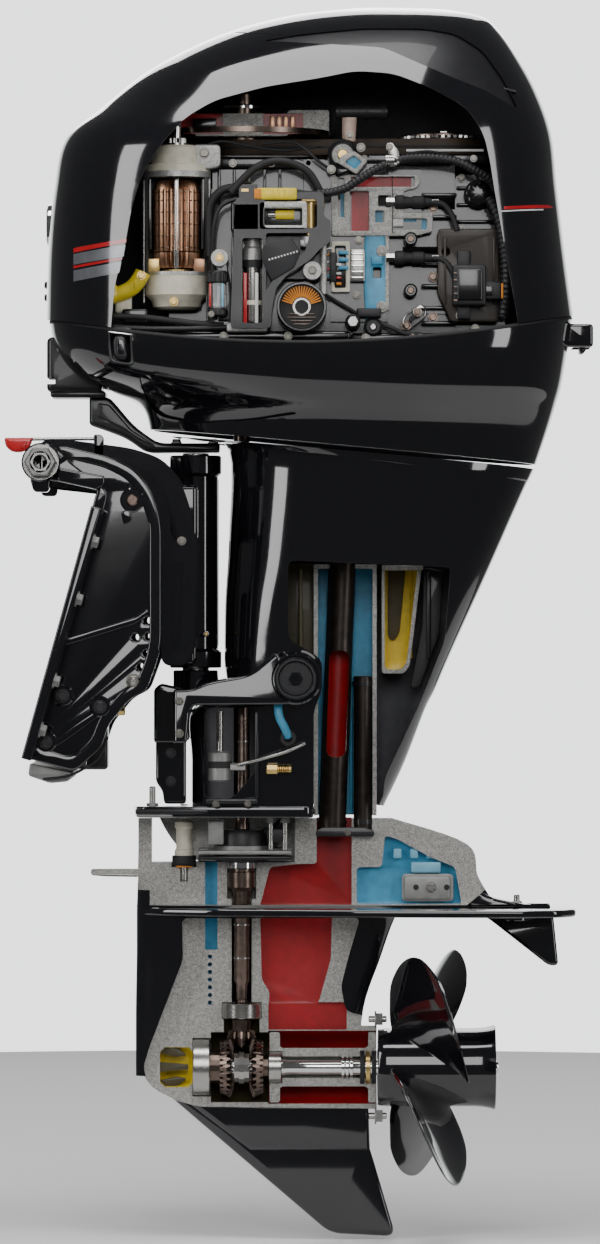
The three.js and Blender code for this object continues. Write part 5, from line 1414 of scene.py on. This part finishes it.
coil = merge(
    plate(
        "coil_plate", [(403, 309.5), (475, 309.5), (476.5, 199), (419, 199), (403, 233)], -108, -101,
        COIL_BROWN, radius=5, bevel=1.6, holes=[(413, 282, 4.4)]),
    bolt("coil_plate_bolt", 432, 275, -108, BOLT, None, 5, 6),
    bolt("coil_plate_bolt_low", 429.5, 206.5, -108, BOLT, None, 5, 5),
    bolt("coil_plate_bolt_aft", 447.5, 192, -106, BOLT, None, 4.4, 5),
    *[brick("coil_plate_rib", (a, a + 3), (-110.5, -106), (220, 300), COIL_BROWN, bevel=1)
      for a in (410, 468)],
    body="motor")
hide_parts("coil_bracket")
coil_box = merge(
    brick("coil_case", (420, 459.5), (-138, -108), (217, 265), PLASTIC, bevel=3),
    brick("coil_face", (425, 455), (-141, -136), (223, 260.5), BLOCK, bevel=2),
    brick("coil_ear_top", (426, 441.5), (-120, -108), (259, 283), PLASTIC, bevel=2),
    brick("coil_ear_low", (426, 441.5), (-120, -108), (201.5, 223), PLASTIC, bevel=2),
    brick("coil_plug", (456, 477.5), (-134, -118), (224.5, 245), PLASTIC, bevel=2),
    brick("coil_plug_lock", (458.5, 468), (-136, -133), (229, 240), BLOCK, bevel=1),
    brick("coil_plug_seal", (476.5, 480), (-133, -119), (225.5, 243.5), ORANGE, bevel=1),
    *[brick("coil_core", (421, 426), (-139.5, -110), (z, z + 2), DARK_STEEL, bevel=0.4)
      for z in (222, 230, 238, 246, 254)],
    body="motor")
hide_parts("ignition_coil")
throttle = merge(
    plate(
        "throttle_arm", [(360, 199), (365, 209), (383, 221), (390, 215), (389, 204), (367, 187)], -104,
        -96, STEEL, radius=4, bevel=1.5, holes=[(379, 211, 3.6)]),
    plate(
        "throttle_slot", [(368.5, 204), (375.5, 210), (378, 206.5), (371, 199)], -104.6, -100, RUBBER,
        radius=1, bevel=0.3),
    bolt("throttle_pin", 379, 211, -104, DARK_STEEL, None, 4.6, 4), body="throttle")
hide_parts("throttle_lever")
merge(
    rod("oil_sender", 9, -122, -96, PLASTIC, None, (302.5, 199), "Y", 2),
    rod("oil_sender_hex", 7, -126, -120, STEEL, None, (302.5, 199), "Y", 1, 6),
    rod("knock_sensor", 11, -114, -94, PLASTIC, None, (326.5, 193), "Y", 3),
    rod("knock_core", 4, -118, -112, STEEL, None, (326.5, 193), "Y", 1),
    brick("sender_plug", (307, 336), (-116, -100), (204, 215), PLASTIC, bevel=2),
    hose(
        "sender_lead", [(307, -112, 209), (295, -118, 216), (283, -118, 223), (271, -112, 230.5)], 2.2,
        RUBBER),
    hose(
        "sender_lead_aft", [(333.5, -108, 199), (348, -112, 192), (365, -110, 185), (384, -106, 185)],
        2.6, RUBBER),
    body="motor")
merge(
    hose(
        "battery_boot",
        [(21.5, -120, 230.5), (31, -121, 233), (43, -123, 240), (51.5, -124, 251), (55, -124, 258)], 9.5,
        YELLOW),
    turned(
        "boot_mouth", [(6, 16), (11.5, 16), (12, 20), (10, 24), (6, 24), (6, 16)], YELLOW, None,
        (-120, 231.5), "X", 48),
    turned("boot_ring", [(8, 44), (11, 45), (8, 47), (8, 44)], YELLOW, None, (-123, 243), "X", 48),
    brick("terminal_block", (21.5, 41), (-118, -96), (209, 241), CREAM, bevel=3),
    hose(
        "battery_lead", [(23, -118, 230.5), (12, -112, 223), (21.5, -108, 211), (43, -104, 204)], 5,
        RUBBER),
    bolt("terminal_nut", 53, 253, -132, BRASS, None, 5, 6), body="motor")
merge(
    brick("base_rail", (18, 300), (-118, -92), (176, 188), BLOCK, bevel=4),
    brick("base_rail_aft", (300, 452), (-110, -88), (172, 186), BLOCK, bevel=4),
    plate(
        "base_slope", [(150, 232), (164, 214), (172, 190), (130, 190), (128, 232)], -118, -100, BLOCK,
        radius=5, bevel=2),
    *[bolt("base_bolt", x, 182, -118, BOLT, None, 5, 5) for x in (70, 150, 226)],
    *[bolt("base_bolt_aft", x, 180, -110, BOLT, None, 5, 5) for x in (318, 372, 430)],
    brick("cable_clamp", (30, 60), (-124, -104), (196, 214), BLOCK, bevel=3),
    hose(
        "shift_cable",
        [(20, -122, 205), (52, -122, 204), (86, -124, 200), (120, -126, 196), (150, -126, 194)], 4,
        RUBBER),
    hose(
        "throttle_cable",
        [(20, -128, 192), (60, -130, 190), (110, -130, 190), (160, -128, 192), (196, -124, 192)], 3.4,
        PLASTIC),
    body="motor")
merge(
    *[brick("head_rib", (384, 426), (-90, -76), (z, z + 5), BLOCK, bevel=1.6)
      for z in (348, 322, 266, 240, 214, 196)],
    *[bolt("head_bolt", x, z, -80, DARK_STEEL, None, 5.5, 6)
      for x, z in ((398, 336), (398, 254), (398, 206), (366, 196), (356, 372))],
    *[brick("cover_rib", (426, 482), (-72, -60), (z, z + 4), BLOCK, bevel=1.4)
      for z in (358, 338, 318, 300)],
    *[bolt("cover_bolt", x, z, -68, BOLT, None, 4.5, 6)
      for x, z in ((432, 372), (476, 372), (432, 310), (476, 310))],
    rod("oil_filler", 17, -92, -60, PLASTIC, None, (452, 352), "Y", 3),
    turned(
        "oil_filler_grip", [(0, -92), (14, -92), (14, -99), (12, -100), (0, -100)], BLOCK, None,
        (452, 352), "Y", 96, 30, (8, 0.06)),
    body="motor")

# ------------------------------------------------------------------ inside the drive shaft housing
def leaning(made, low, high):
    """Stands a piece turned on Z, measured from low, on the line from low to high."""
    low, high = Vector(low), Vector(high)
    made.data.transform(Matrix.Translation(low * MM)
                        @ (high - low).to_track_quat("Z", "Y").to_matrix().to_4x4())
    return made


chamber = brick("exhaust_chamber", (256.5, 332), (0, 32), (-388, -92), CUT, bevel=0)
carve(chamber, brick("chamber_space", (261.5, 327), (-1, 27), (-392, -88), BLUE, bevel=0))
merge(
    chamber, brick("chamber_rib", (300, 303), (20, 27.5), (-386, -96), BLUE, bevel=0.8),
    brick("chamber_top", (256, 332.5), (0, 32), (-92, -87), CUT, bevel=1),
    *[rod("gasket_bolt", 4, 2, 6, STEEL, None, (x, z), "Y", 1, 6)
      for x, z in ((259, -100), (329.5, -100))],
    body="motor")
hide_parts("exhaust_housing")
pipe = leaning(
    rod("exhaust_pipe", 16.5, 0, 352, BURNT, None, (0, 0), "Z", 0.8, 72), (278, 6, -412), (292, 6, -60))
carve(
    pipe,
    leaning(
        rod("pipe_bore", 13.3, -2, 355, RED, None, (0, 0), "Z", 0.01, 72), (278, 6, -412), (292, 6, -60)),
    plate(
        "pipe_slot", [(275.5, -190), (299, -190), (295, -318), (271.5, -318)], -30, 2, WHITE, radius=11,
        bevel=0.01, steps=8))
merge(
    pipe,
    *[leaning(
          turned(
              "pipe_band", [(16.4, h), (17.6, h), (17.6, h + 4), (16.4, h + 4), (16.4, h)], BURNT, None,
              (0, 0), "Z", 72),
          (278, 6, -412), (292, 6, -60))
      for h in (14, 330)],
    body="motor")
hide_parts("exhaust_tube")
tube = rod("water_pipe", 11.3, -409, -221, BURNT, None, (315.5, 6), "Z", 1, 64)
carve(tube, rod("water_pipe_bore", 8.5, -215, -216 + 9, BURNT, None, (315.5, 6), "Z", 0.1))
merge(
    tube,
    *[turned(
          "water_pipe_collar", [(11, z), (12.8, z), (12.8, z + 5), (11, z + 5), (11, z)], SATIN, None,
          (315.5, 6), "Z", 64)
      for z in (-232, -398)],
    plate(
        "pipe_bracket", [(259, -413), (329, -413), (329, -406), (318, -402), (266, -402), (259, -406)],
        -13, -9, SATIN, radius=3, bevel=1),
    bolt("bracket_bolt", 297, -408, -13, BOLT, None, 3.6, 3), body="motor")
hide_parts("water_tube")
sump = plate(
    "sump_wall", [(338, -92), (386, -92), (372, -208), (365, -218), (338, -218)], 0, 50, CUT, radius=4,
    bevel=0.8)
carve(
    sump,
    plate(
        "sump_space", [(341.5, -80), (382.5, -80), (368, -204), (362, -213), (341.5, -213)], -2, 45,
        YELLOW, radius=6, bevel=0.01, steps=7))
merge(
    sump,
    plate(
        "sump_oil", [(346, -84), (368, -84), (360, -170), (352, -180), (346, -174)], 40, 45.4, OLIVE,
        radius=6, bevel=0.3),
    brick("sump_flange", (338, 388), (-2, 50), (-94, -88), CUT, bevel=1.5),
    *[rod("sump_rib", 1.6, -200, -96, YELLOW, None, (x, 44)) for x in (374,)], body="motor")
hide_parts("oil_sump")
merge(
    brick("window_back", (224, 256), (22, 26), (-262, -86), OLIVE, bevel=1),
    brick("window_rib", (238, 243), (6, 24), (-240, -92), OLIVE, bevel=2),
    plate(
        "window_web", [(388, -90), (412, -94), (408, -170), (384, -236), (372, -236), (386, -160)], 14,
        18, SATIN, radius=5, bevel=1.5),
    brick("aft_rib", (392, 397), (-6, 16), (-200, -96), SATIN, bevel=2), body="motor")

# ------------------------------------------------------------------ service window under the mounts
merge(
    rod("shift_linkage", 13.5, -346, -310, ZINC, None, (144.5, -52), "Z", 2, 64),
    turned(
        "linkage_bands", [(13, -322), (14.4, -322), (14.4, -330), (13, -330), (13, -322)], RUBBER, None,
        (144.5, -52), "Z", 64),
    rod("linkage_stem", 4, -312, -262, STEEL, None, (144.5, -52)),
    rod("linkage_end", 5, 156, 176, STEEL, None, (-56, -328), "X", 1, 6),
    rod("water_fitting", 6, 200, 214, BRASS, None, (-79, -331), "X", 1, 6),
    rod("water_fitting_tail", 4, 212, 230, BRASS, None, (-79, -331), "X", 1),
    *[turned(
          "fitting_thread", [(4, x), (5, x + 0.8), (4, x + 1.6), (4, x)], BRASS, None, (-79, -331), "X",
          32)
      for x in (215, 217.5, 220, 222.5, 225)],
    hose(
        "tell_tale_hose",
        [(214, -76, -246), (214, -82, -258), (216, -84, -270), (222, -83, -282), (226, -76, -292)], 5,
        BLUE),
    turned(
        "hose_grommet", [(5, -72), (10, -72), (10.5, -76), (9, -80), (5, -80), (5, -72)], RUBBER, None,
        (226, -294), "Y", 48),
    hose(
        "speed_cable",
        [(166, -60, -326), (182, -72, -322), (204, -82, -316), (226, -84, -309), (246, -80, -300)], 2.4,
        STEEL, None, 3, 0.2),
    brick("window_sill", (128, 190), (-74, -66), (-372, -366), SATIN, bevel=2),
    *[bolt("sill_bolt", x, -372, -76, BOLT, None, 4, 4) for x in (140, 178)],
    brick("rear_post", (186, 191), (-74, -50), (-366, -262), SATIN, bevel=2), body="motor")

# ------------------------------------------------------------------ gear case top
merge(
    brick("joint_flange", (44, 258), (-64, 64), (-385, -378.5), SATIN, bevel=2),
    brick("joint_gasket", (46, 256), (-62, 62), (-388, -385), ZINC, bevel=0.8),
    rod("locating_stud", 3.8, -378, -352, STEEL, None, (64, -46), "Z", 1.2),
    turned("locating_nut", [(0, -379), (7, -379), (7, -372), (0, -372)], ZINC, None, (64, -46), "Z", 6),
    turned(
        "flange_nut", [(0, -379), (6.4, -379), (6.4, -373), (0, -373)], ZINC, None, (240, -50), "Z", 6),
    bolt("plate_bolt", 500, 0, -497.6, STEEL, None, 7.6, 7, 1, "Z"),
    rod("plate_stud", 3.6, -492, -483, STEEL, None, (500, 0), "Z", 1), body="motor")
shift = turned(
    "shift_bush",
    [(0, -374.5), (4.4, -374.5), (4.4, -392), (8, -394), (11.4, -396), (11.4, -402), (9.6, -404),
     (9.6, -428), (11.4, -430), (11.4, -436), (0, -436)],
    CREAM, None, (101, 0), "Z", 64)
merge(
    shift,
    turned(
        "shift_grommet", [(0, -436), (14, -436), (14.5, -438), (14.5, -445), (12, -448), (0, -448)],
        RUBBER, None, (101, 0), "Z", 64),
    turned("shift_ring", [(0, -448), (10, -448), (10, -450), (0, -450)], ORANGE, None, (101, 0), "Z", 48),
    rod("shift_pin", 3.4, -466, -449, STEEL, None, (101, 0)), body="shifter")
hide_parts("shift_shaft")
water_pump = brick("pump_plate", (118, 230), (2, 44), (-443, -428), CAST, bevel=1)
merge(
    water_pump,
    turned(
        "pump_body",
        [(12, -443), (31, -443), (32, -441), (32, -410), (29, -405), (20, -404), (12, -404), (12, -443)],
        PLASTIC, None, (170, 0), "Z", 80),
    turned(
        "pump_band_steel", [(31.6, -430), (32.6, -430), (32.6, -424), (31.6, -424), (31.6, -430)], ZINC,
        None, (170, 0), "Z", 80),
    brick("pump_base", (118, 230), (-34, 44), (-434, -429), ZINC, bevel=1),
    brick("pump_base_low", (118, 230), (-36, 44), (-440, -436), SATIN, bevel=1),
    brick("pump_inlet", (130, 149), (-34, -14), (-422, -393), ZINC, bevel=2),
    brick("pump_rib", (200, 224), (-30, -6), (-420, -402), PLASTIC, bevel=3),
    *[merge(
          rod("pump_screw", 3.4, -429, -396, STEEL, None, (x, -27), "Z", 0.8),
          turned(
              "pump_screw_head", [(0, -396), (6, -396), (6, -390.5), (0, -390.5)], ZINC, None, (x, -27),
              "Z", 6))
      for x in (205, 222)],
    hose("pump_outlet", [(196, -8, -410), (212, -16, -402), (222, -18, -394)], 6, RUBBER), body="motor")
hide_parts("water_pump_housing")
shaft = turned(
    "drive_shaft_turned",
    [(0, -648), (6, -648), (7, -646), (7, -600), (7.6, -598), (7.6, -590), (9.6, -586), (9.6, -496),
     (11.5, -492), (11.5, -480), (14, -476), (16.8, -474), (16.8, -456), (15, -455), (15, -452),
     (16.8, -451), (16.8, -444.5), (9.8, -444), (9.8, -400), (9.6, -398), (9.6, 109), (0, 109)],
    DARK_STEEL, None, CRANK, "Z", 64)
merge(
    shaft,
    turned(
        "shaft_seal", [(9.6, -451), (17, -451), (17, -444.4), (9.6, -444.4), (9.6, -451)], CHROME, None,
        CRANK, "Z", 64),
    *[turned(
          "shaft_ring", [(9.4, z), (10.2, z), (10.2, z + 2), (9.4, z + 2), (9.4, z)], STEEL, None, CRANK,
          "Z", 64)
      for z in (-560, -520, -300, -150)],
    body="crank")
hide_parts("drive_shaft")


def roller_bearing(name, node, at, axis, r, bore, low, high, rollers):
    """Outer race, cage and rollers, seen from both ends."""
    length = high - low
    race = turned(name, [(r * 0.84, low), (r - 1, low), (r, low + 1), (r, high - 1), (r - 1, high),
                         (r * 0.84, high), (r * 0.84, low)], STEEL, None, at, axis, 80)
    inner = turned(name + "_inner",
                   [(bore, low), (bore + 4, low), (bore + 4, high), (bore, high), (bore, low)],
                   CHROME, None, at, axis, 64)
    middle, size = (r * 0.84 + bore + 4) / 2, (r * 0.84 - bore - 4) / 2
    for k in range(rollers):
        a = 2 * math.pi * k / rollers
        spot = (at[0] + middle * math.cos(a), at[1] + middle * math.sin(a))
        merge(inner, rod("roller", size * 0.94, low + 1, high - 1, CHROME, None, spot, axis, 0.6, 20))
    cage = turned(name + "_cage", [(middle - size * 0.4, low + 0.4), (middle + size * 0.4, low + 0.4),
                                   (middle + size * 0.4, low + 1.6), (middle - size * 0.4, low + 1.6),
                                   (middle - size * 0.4, low + 0.4)], BRASS, None, at, axis, 64)
    merge(race, inner, cage, body="motor")
    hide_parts(node)
    return race


roller_bearing("pinion_race", "pinion_bearing", CRANK, "Z", 23.4, 10, -631, -613, 14)
roller_bearing("forward_race", "forward_gear_bearing", (0, -690), "X", 33.6, 18, 112, 132, 18)
roller_bearing("reverse_race", "reverse_gear_bearing", (0, -690), "X", 19.2, 10.6, 202, 218, 12)

# ------------------------------------------------------------------ bearing carrier and tail
carrier = turned(
    "carrier_body",
    [(19.6, 203.5), (41, 203.5), (42.2, 205), (42.2, 214), (40, 216), (25, 216), (23, 219), (23, 318),
     (26, 322), (41, 322), (42.2, 323), (42.2, 330), (41, 331), (13, 331), (13, 219), (19.6, 219),
     (19.6, 203.5)],
    CUT, None, (0, -690), "X", 96)
carve(
    carrier, brick("carrier_cut", (218.5, 321), (-50, 0), (-740, -640), CUT, bevel=0),
    brick("carrier_front_cut", (200, 335), (-50, -3), (-740, -640), CUT, bevel=0))
merge(
    carrier,
    *[turned(
          "tail_seal", [(10.4, x), (20, x), (20, x + 5), (10.4, x + 5), (10.4, x)], mat, None, (0, -690),
          "X", 64)
      for x, mat in ((312, RUBBER), (319, BRASS), (326, RUBBER))],
    *[turned(
          "tail_roller", [(10, x), (13, x), (13, x + 3), (10, x + 3), (10, x)], CHROME, None, (0, -690),
          "X", 64)
      for x in (290, 295, 300)],
    *[merge(
          rod("tail_stud", 4, 322, 344, STEEL, None, (-4, z), "X", 1),
          turned("tail_nut", [(0, 331), (8, 331), (8, 339), (0, 339)], ZINC, None, (-4, z), "X", 6),
          turned(
              "tail_washer", [(0, 329.5), (10, 329.5), (10, 331.4), (0, 331.4)], ZINC, None, (-4, z), "X",
              40))
      for z in (-632, -748)],
    body="motor")
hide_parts("bearing_carrier")
prop_shaft = turned(
    "prop_shaft_turned",
    [(0, 112), (8.6, 112), (9.6, 113), (9.6, 150), (9.6, 205), (10, 206), (10, 222), (9, 224), (9, 300),
     (9.6, 302), (9.6, 340), (11, 342), (11, 346), (9.6, 350), (9.6, 448), (7, 451), (7, 476), (6, 478),
     (0, 478)],
    CHROME, None, (0, -690), "X", 64)
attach(prop_shaft, "prop")
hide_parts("prop_shaft")
nut = merge(
    turned(
        "nut_washer", [(7.2, 452.5), (17, 452.5), (17, 454.5), (7.2, 455), (7.2, 452.5)], STEEL, None,
        (0, -690), "X", 48),
    turned(
        "castle_nut", [(7.2, 454.5), (14, 454.5), (14, 465), (12.4, 466), (7.2, 466), (7.2, 454.5)],
        STEEL, None, (0, -690), "X", 6),
    *[rod("nut_pin", 1.4, -14, 14, CHROME, None, (460.5, -690), "Y", 0.4, 16)], body="prop")
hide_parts("prop_nut")
tail_trim = merge(
    plate(
        "nose_mark_high", [(72, -664), (94, -668), (104, -676), (92, -678), (72, -674)], 6, 12, OLIVE,
        radius=2, bevel=0.5),
    plate(
        "nose_mark_low", [(72, -716), (94, -712), (104, -704), (92, -702), (72, -706)], 6, 12, OLIVE,
        radius=2, bevel=0.5),
    plate(
        "nose_mark_mid", [(70, -684), (106, -687), (106, -693), (70, -696)], 2, 8, OLIVE, radius=2,
        bevel=0.5),
    brick("anode_body", (364, 421), (-4, 9), (-490, -460), ZINC, bevel=4),
    plate(
        "anode_rim", [(362, -458), (424, -458), (424, -491), (362, -491)], -1, 1.6, ZINC, radius=6,
        bevel=0.7),
    bolt("anode_bolt", 397, -474, -4, STEEL, None, 6.4, 5),
    # black discs on the anode face, not carved holes: painted shade where the holes would look dark
    *[rod("anode_hole_painted_shade", 3.4, -5, -3.6, RUBBER, None, (x, -474), "Y", 0.2) for x in (379, 416)],
    brick("blue_lug", (373, 409), (-3, 10), (-457, -444), PALE_BLUE, bevel=2.5),
    *[brick("blue_step", (x, x + 10), (2, 11), (-440, -428), PALE_BLUE, bevel=2)
      for x in (352, 372, 392)],
    body="motor")
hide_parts("side_anode")
tab = turned(
    "tab_disc", [(0, -514), (17, -514), (18, -513), (18, -508.6), (0, -508.6)], GLOSS, None, (500, 0),
    "Z", 64)
merge(
    tab,
    plate(
        "tab_fin", [(462, -508.5, 4), (544, -508.5, 4), (550, -568, 6), (538, -568, 6)], -5, 5, GLOSS,
        radius=4, bevel=3.4, steps=8),
    body="trim")
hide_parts("trim_tab")

# ------------------------------------------------------------------ cowl features
def skin_patch(name, outlines, mat, out=-0.1, into=-0.9):
    """Thin patches lying on both sides of the top cowl, cut to outlines seen from the side."""
    patch = loft(name, COWL_ROWS, mat, count=160, steps=7, grow=out)
    core = loft("patch_core", COWL_ROWS, mat, count=160, steps=7, grow=into, lift=(-1, 1))
    shapes = [plate("patch_shape", o, y, y + 190, mat, bevel=0.01) for o in outlines for y in (-220, 30)]
    carve(patch, core)
    if len(shapes) > 1:
        carve(shapes[0], *shapes[1:], how="UNION")
    carve(patch, shapes[0], how="INTERSECT")
    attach(patch, "cowl")
    return patch


skin_patch(
    "stripe_red",
    [[(-27.5, 285.5), (36, 294.5), (36, 290), (-27.5, 280)],
     [(-27.5, 264.5), (31, 272.5), (31, 270), (-27.5, 261.5)],
     [(480, 333), (534, 338), (541, 336), (534, 334), (480, 329.5)]],
    RED_DECAL)
skin_patch(
    "stripe_grey",
    [[(-27.5, 278.5), (35, 287.5), (32.5, 273.5), (-27.5, 266)],
     [(-27.5, 259), (30, 267.5), (27.5, 254.5), (-27.5, 246)]],
    GREY_DECAL, -0.15)
skin_patch("stripe_white", [[(476.5, 328), (528, 332.5), (528, 331), (476.5, 326.5)]], WHITE, -0.15)
recess = plate(
    "intake_recess",
    [(194.5, 531.5), (240, 539), (314.5, 546.5), (387.5, 546.5), (423.5, 541), (456, 521), (480, 487),
     (499, 449), (461, 470.5), (417.5, 487), (375.5, 505), (338.5, 522), (288, 525.5)],
    -215, 215, SATIN, radius=10, bevel=0.01, steps=6)
carve(recess, loft("recess_core", COWL_ROWS, SATIN, count=160, steps=7, grow=-3.2, lift=(-2, -3.4)))
carve(cowl, recess)
seam = plate(
    "panel_seam", [(163, 546), (240, 535), (240, 534), (163, 544.5)], -215, 215, RUBBER, bevel=0.01)
carve(seam, loft("seam_core", COWL_ROWS, RUBBER, count=120, steps=6, grow=-1.6, lift=(-2, -2)))
carve(cowl, seam)
badge = turned(
    "blank_badge", [(0, -63), (21, -62.4), (24, -60.6), (25, -58), (25, -52), (0, -52)], DARK_STEEL, None,
    (0, 319), "X", 80)
merge(
    badge,
    turned(
        "badge_ring", [(22.5, -63.4), (25.6, -62), (26.4, -58), (26.4, -52), (22.5, -52), (22.5, -63.4)],
        CHROME, None, (0, 319), "X", 80),
    *[rod("front_nub", 4.4, -66.5, -55, PLASTIC, None, (0, z), "X", 1.6) for z in (248, 233)],
    body="cowl")
for i, side in enumerate((-1, 1)):
    louvre = merge(
        *[plate("louvre", [(x, z), (x + 52, z - 14), (x + 52, z - 17), (x, z - 3)],
                *sided(side, reach - 6, reach), PLASTIC, radius=1, bevel=0.8)
          for x, z, reach in ((430, 505, 100), (444, 487, 108))], body="cowl")

RIM_ROW = (*LOWER_ROWS[0], 0)
seal = ring_of(RIM_ROW, 72, -2.5)
rim = ring_of(RIM_ROW, 72, -1.6)
merge(
    hose("cowl_seal", [(x, y, z + 1.5) for x, y, z in seal + seal[:1]], 2.6, RUBBER),
    hose("cowl_rim", [(x, y, z - 1.5) for x, y, z in rim + rim[:1]], 1.3, CHROME), body="motor")
carve(lower, brick("rear_latch_case", (545, 590), (-42, 42), (172, 200), GLOSS, bevel=4), how="UNION")
carve(lower, brick("rear_latch_space", (566, 595), (-36, 36), (160, 189), SATIN, bevel=0))
for side in (-1, 1):
    scoop = plate(
        "side_scoop",
        [(48, 139), (103, 120), (168, 103), (242.5, 90), (180, 81.5), (115, 79), (69.5, 89), (55, 113)],
        *sided(side, 40, 215), SATIN, radius=14, bevel=0.01, steps=7)
    carve(scoop, loft("scoop_core", LOWER_ROWS, GLOSS, count=160, steps=6, grow=-3.4, lift=(6, -4)))
    carve(lower, scoop)
latch = merge(
    plate(
        "latch_button", [(20, 182, 9), (36, 182, 9), (37, 152, 9), (21, 154, 9)], -153.5, -143, SATIN,
        radius=8, bevel=2.6, steps=8),
    plate(
        "latch_button_face", [(24, 177), (33, 177), (34, 158), (25, 159)], -155, -150, GLOSS, radius=6,
        bevel=1, steps=8),
    body="side_latch")
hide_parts("side_latch_button")
frame_ring = plate(
    "latch_frame", [(12, 191), (43, 191), (46, 145), (16, 149)], -149, -143, SATIN, radius=6, bevel=1.6,
    steps=6, holes=[[(16, 186, 5), (39, 186, 5), (41, 149, 5), (20, 153, 5)]])
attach(frame_ring, "motor")
handle = merge(
    rod("rear_pin", 5, -34, 34, STEEL, None, (578, 182), "Y", 1),
    plate(
        "rear_lever", [(574, 186), (582, 186), (582, 169), (579, 165), (575, 166)], -24, 24, PLASTIC,
        radius=2, bevel=1.5),
    body="rear_latch")
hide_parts("rear_latch_lever")
grip = brick("front_grip", (-62, 4), (-46, 46), (118, 184), SATIN, bevel=6)
carve(
    grip, brick("grip_notch", (-70, -52), (-60, 60), (128, 136), RUBBER, bevel=0),
    brick("grip_space", (-52, -14), (-36, 36), (110, 152), LINER, bevel=0))
merge(
    grip, brick("grip_lip", (-58, 8), (-40, 40), (112, 120), SATIN, bevel=3),
    *[bolt("grip_bolt", x, 170, -46, ZINC, None, 4, 3) for x in (-46, -14)],
    plate(
        "shift_lever_plate", [(-30, 160), (-8, 166), (0, 148), (-22, 138)], -50, -45, PLASTIC, radius=5,
        bevel=1.5),
    body="motor")


# ------------------------------------------------------------------ carried-over solids
NODE_LOOKS = {
    "clamp_bracket_port": GLOSS, "clamp_bracket_starboard": GLOSS, "tilt_tube": STEEL,
    "trim_pump_unit": SATIN, "clamp_anode": ZINC, "tilt_cylinder_barrel": SATIN,
    "tilt_ram_rod": CHROME, "swivel_bracket": GLOSS, "tilt_lock_lever": TAG_RED,
    "swivel_pin": STEEL, "steering_arm": SATIN, "lower_yoke": GLOSS, "lower_mount_port": RUBBER,
    "lower_mount_starboard": RUBBER, "exhaust_housing": BLUE, "exhaust_tube": BURNT,
    "water_tube": BURNT, "oil_sump": CAST, "crankcase": BLOCK, "cylinder_block": BLOCK,
    "cylinder_head": BLOCK, "valve_cover": BLOCK, "timing_belt": BELT, "starter_housing": CAST,
    "intake_and_vapour_tank": SATIN, "fuel_pump": STEEL, "oil_filter": SATIN,
    "thermostat_housing": SATIN, "coil_bracket": PLASTIC, "ignition_coil": PLASTIC,
    "relay_block": PLASTIC, "side_anode": ZINC, "water_pump_housing": PLASTIC,
    "pinion_bearing": STEEL, "forward_gear_bearing": STEEL, "reverse_gear_bearing": STEEL,
    "bearing_carrier": CAST, "crankshaft": DARK_STEEL, "flywheel": SATIN,
    "drive_shaft": DARK_STEEL, "pinion_gear": DARK_STEEL, "pump_impeller": RUBBER,
    "cam_sprocket": DARK_STEEL, "starter_armature": COPPER, "starter_pinion": STEEL,
    "rear_latch_lever": PLASTIC, "side_latch_button": PLASTIC, "throttle_lever": PLASTIC,
    "shift_shaft": CREAM, "forward_gear": DARK_STEEL, "reverse_gear": DARK_STEEL,
    "clutch_dog": STEEL, "prop_shaft": STEEL, "prop_nut": STEEL, "trim_tab": ZINC,
}
for name, mat in NODE_LOOKS.items():
    made = nodes[name]
    made.data.materials.clear()
    made.data.materials.append(mat)
    if not made.hide_render:
        edge = made.modifiers.new("edge", "BEVEL")
        edge.width = 0.0006
        edge.segments = 2
        edge.limit_method = "ANGLE"
        edge.angle_limit = math.radians(40)
        made.data.polygons.foreach_set("use_smooth", [True] * len(made.data.polygons))
        made.data.set_sharp_from_angle(angle=math.radians(30))

# ------------------------------------------------------------------ floor
floor_mesh = bpy.data.meshes.new("floor")
floor_z = cad_box[0].z - FLOOR_DROP
turns = [2 * math.pi * k / FLOOR_SIDES for k in range(FLOOR_SIDES)]
floor_mesh.from_pydata(
    [(FLOOR_CENTRE[0] + FLOOR_RADIUS * math.cos(a), FLOOR_CENTRE[1] + FLOOR_RADIUS * math.sin(a), floor_z)
     for a in turns],
    [], [list(range(FLOOR_SIDES))])
floor = bpy.data.objects.new("floor", floor_mesh)
scene.collection.objects.link(floor)
floor_mat = bpy.data.materials.new("pale_floor")
floor_mat.use_nodes = True
floor_mat.node_tree.nodes["Principled BSDF"].inputs["Base Color"].default_value = (0.86, 0.86, 0.86, 1)
floor_mat.node_tree.nodes["Principled BSDF"].inputs["Roughness"].default_value = 0.8
floor_mesh.materials.append(floor_mat)
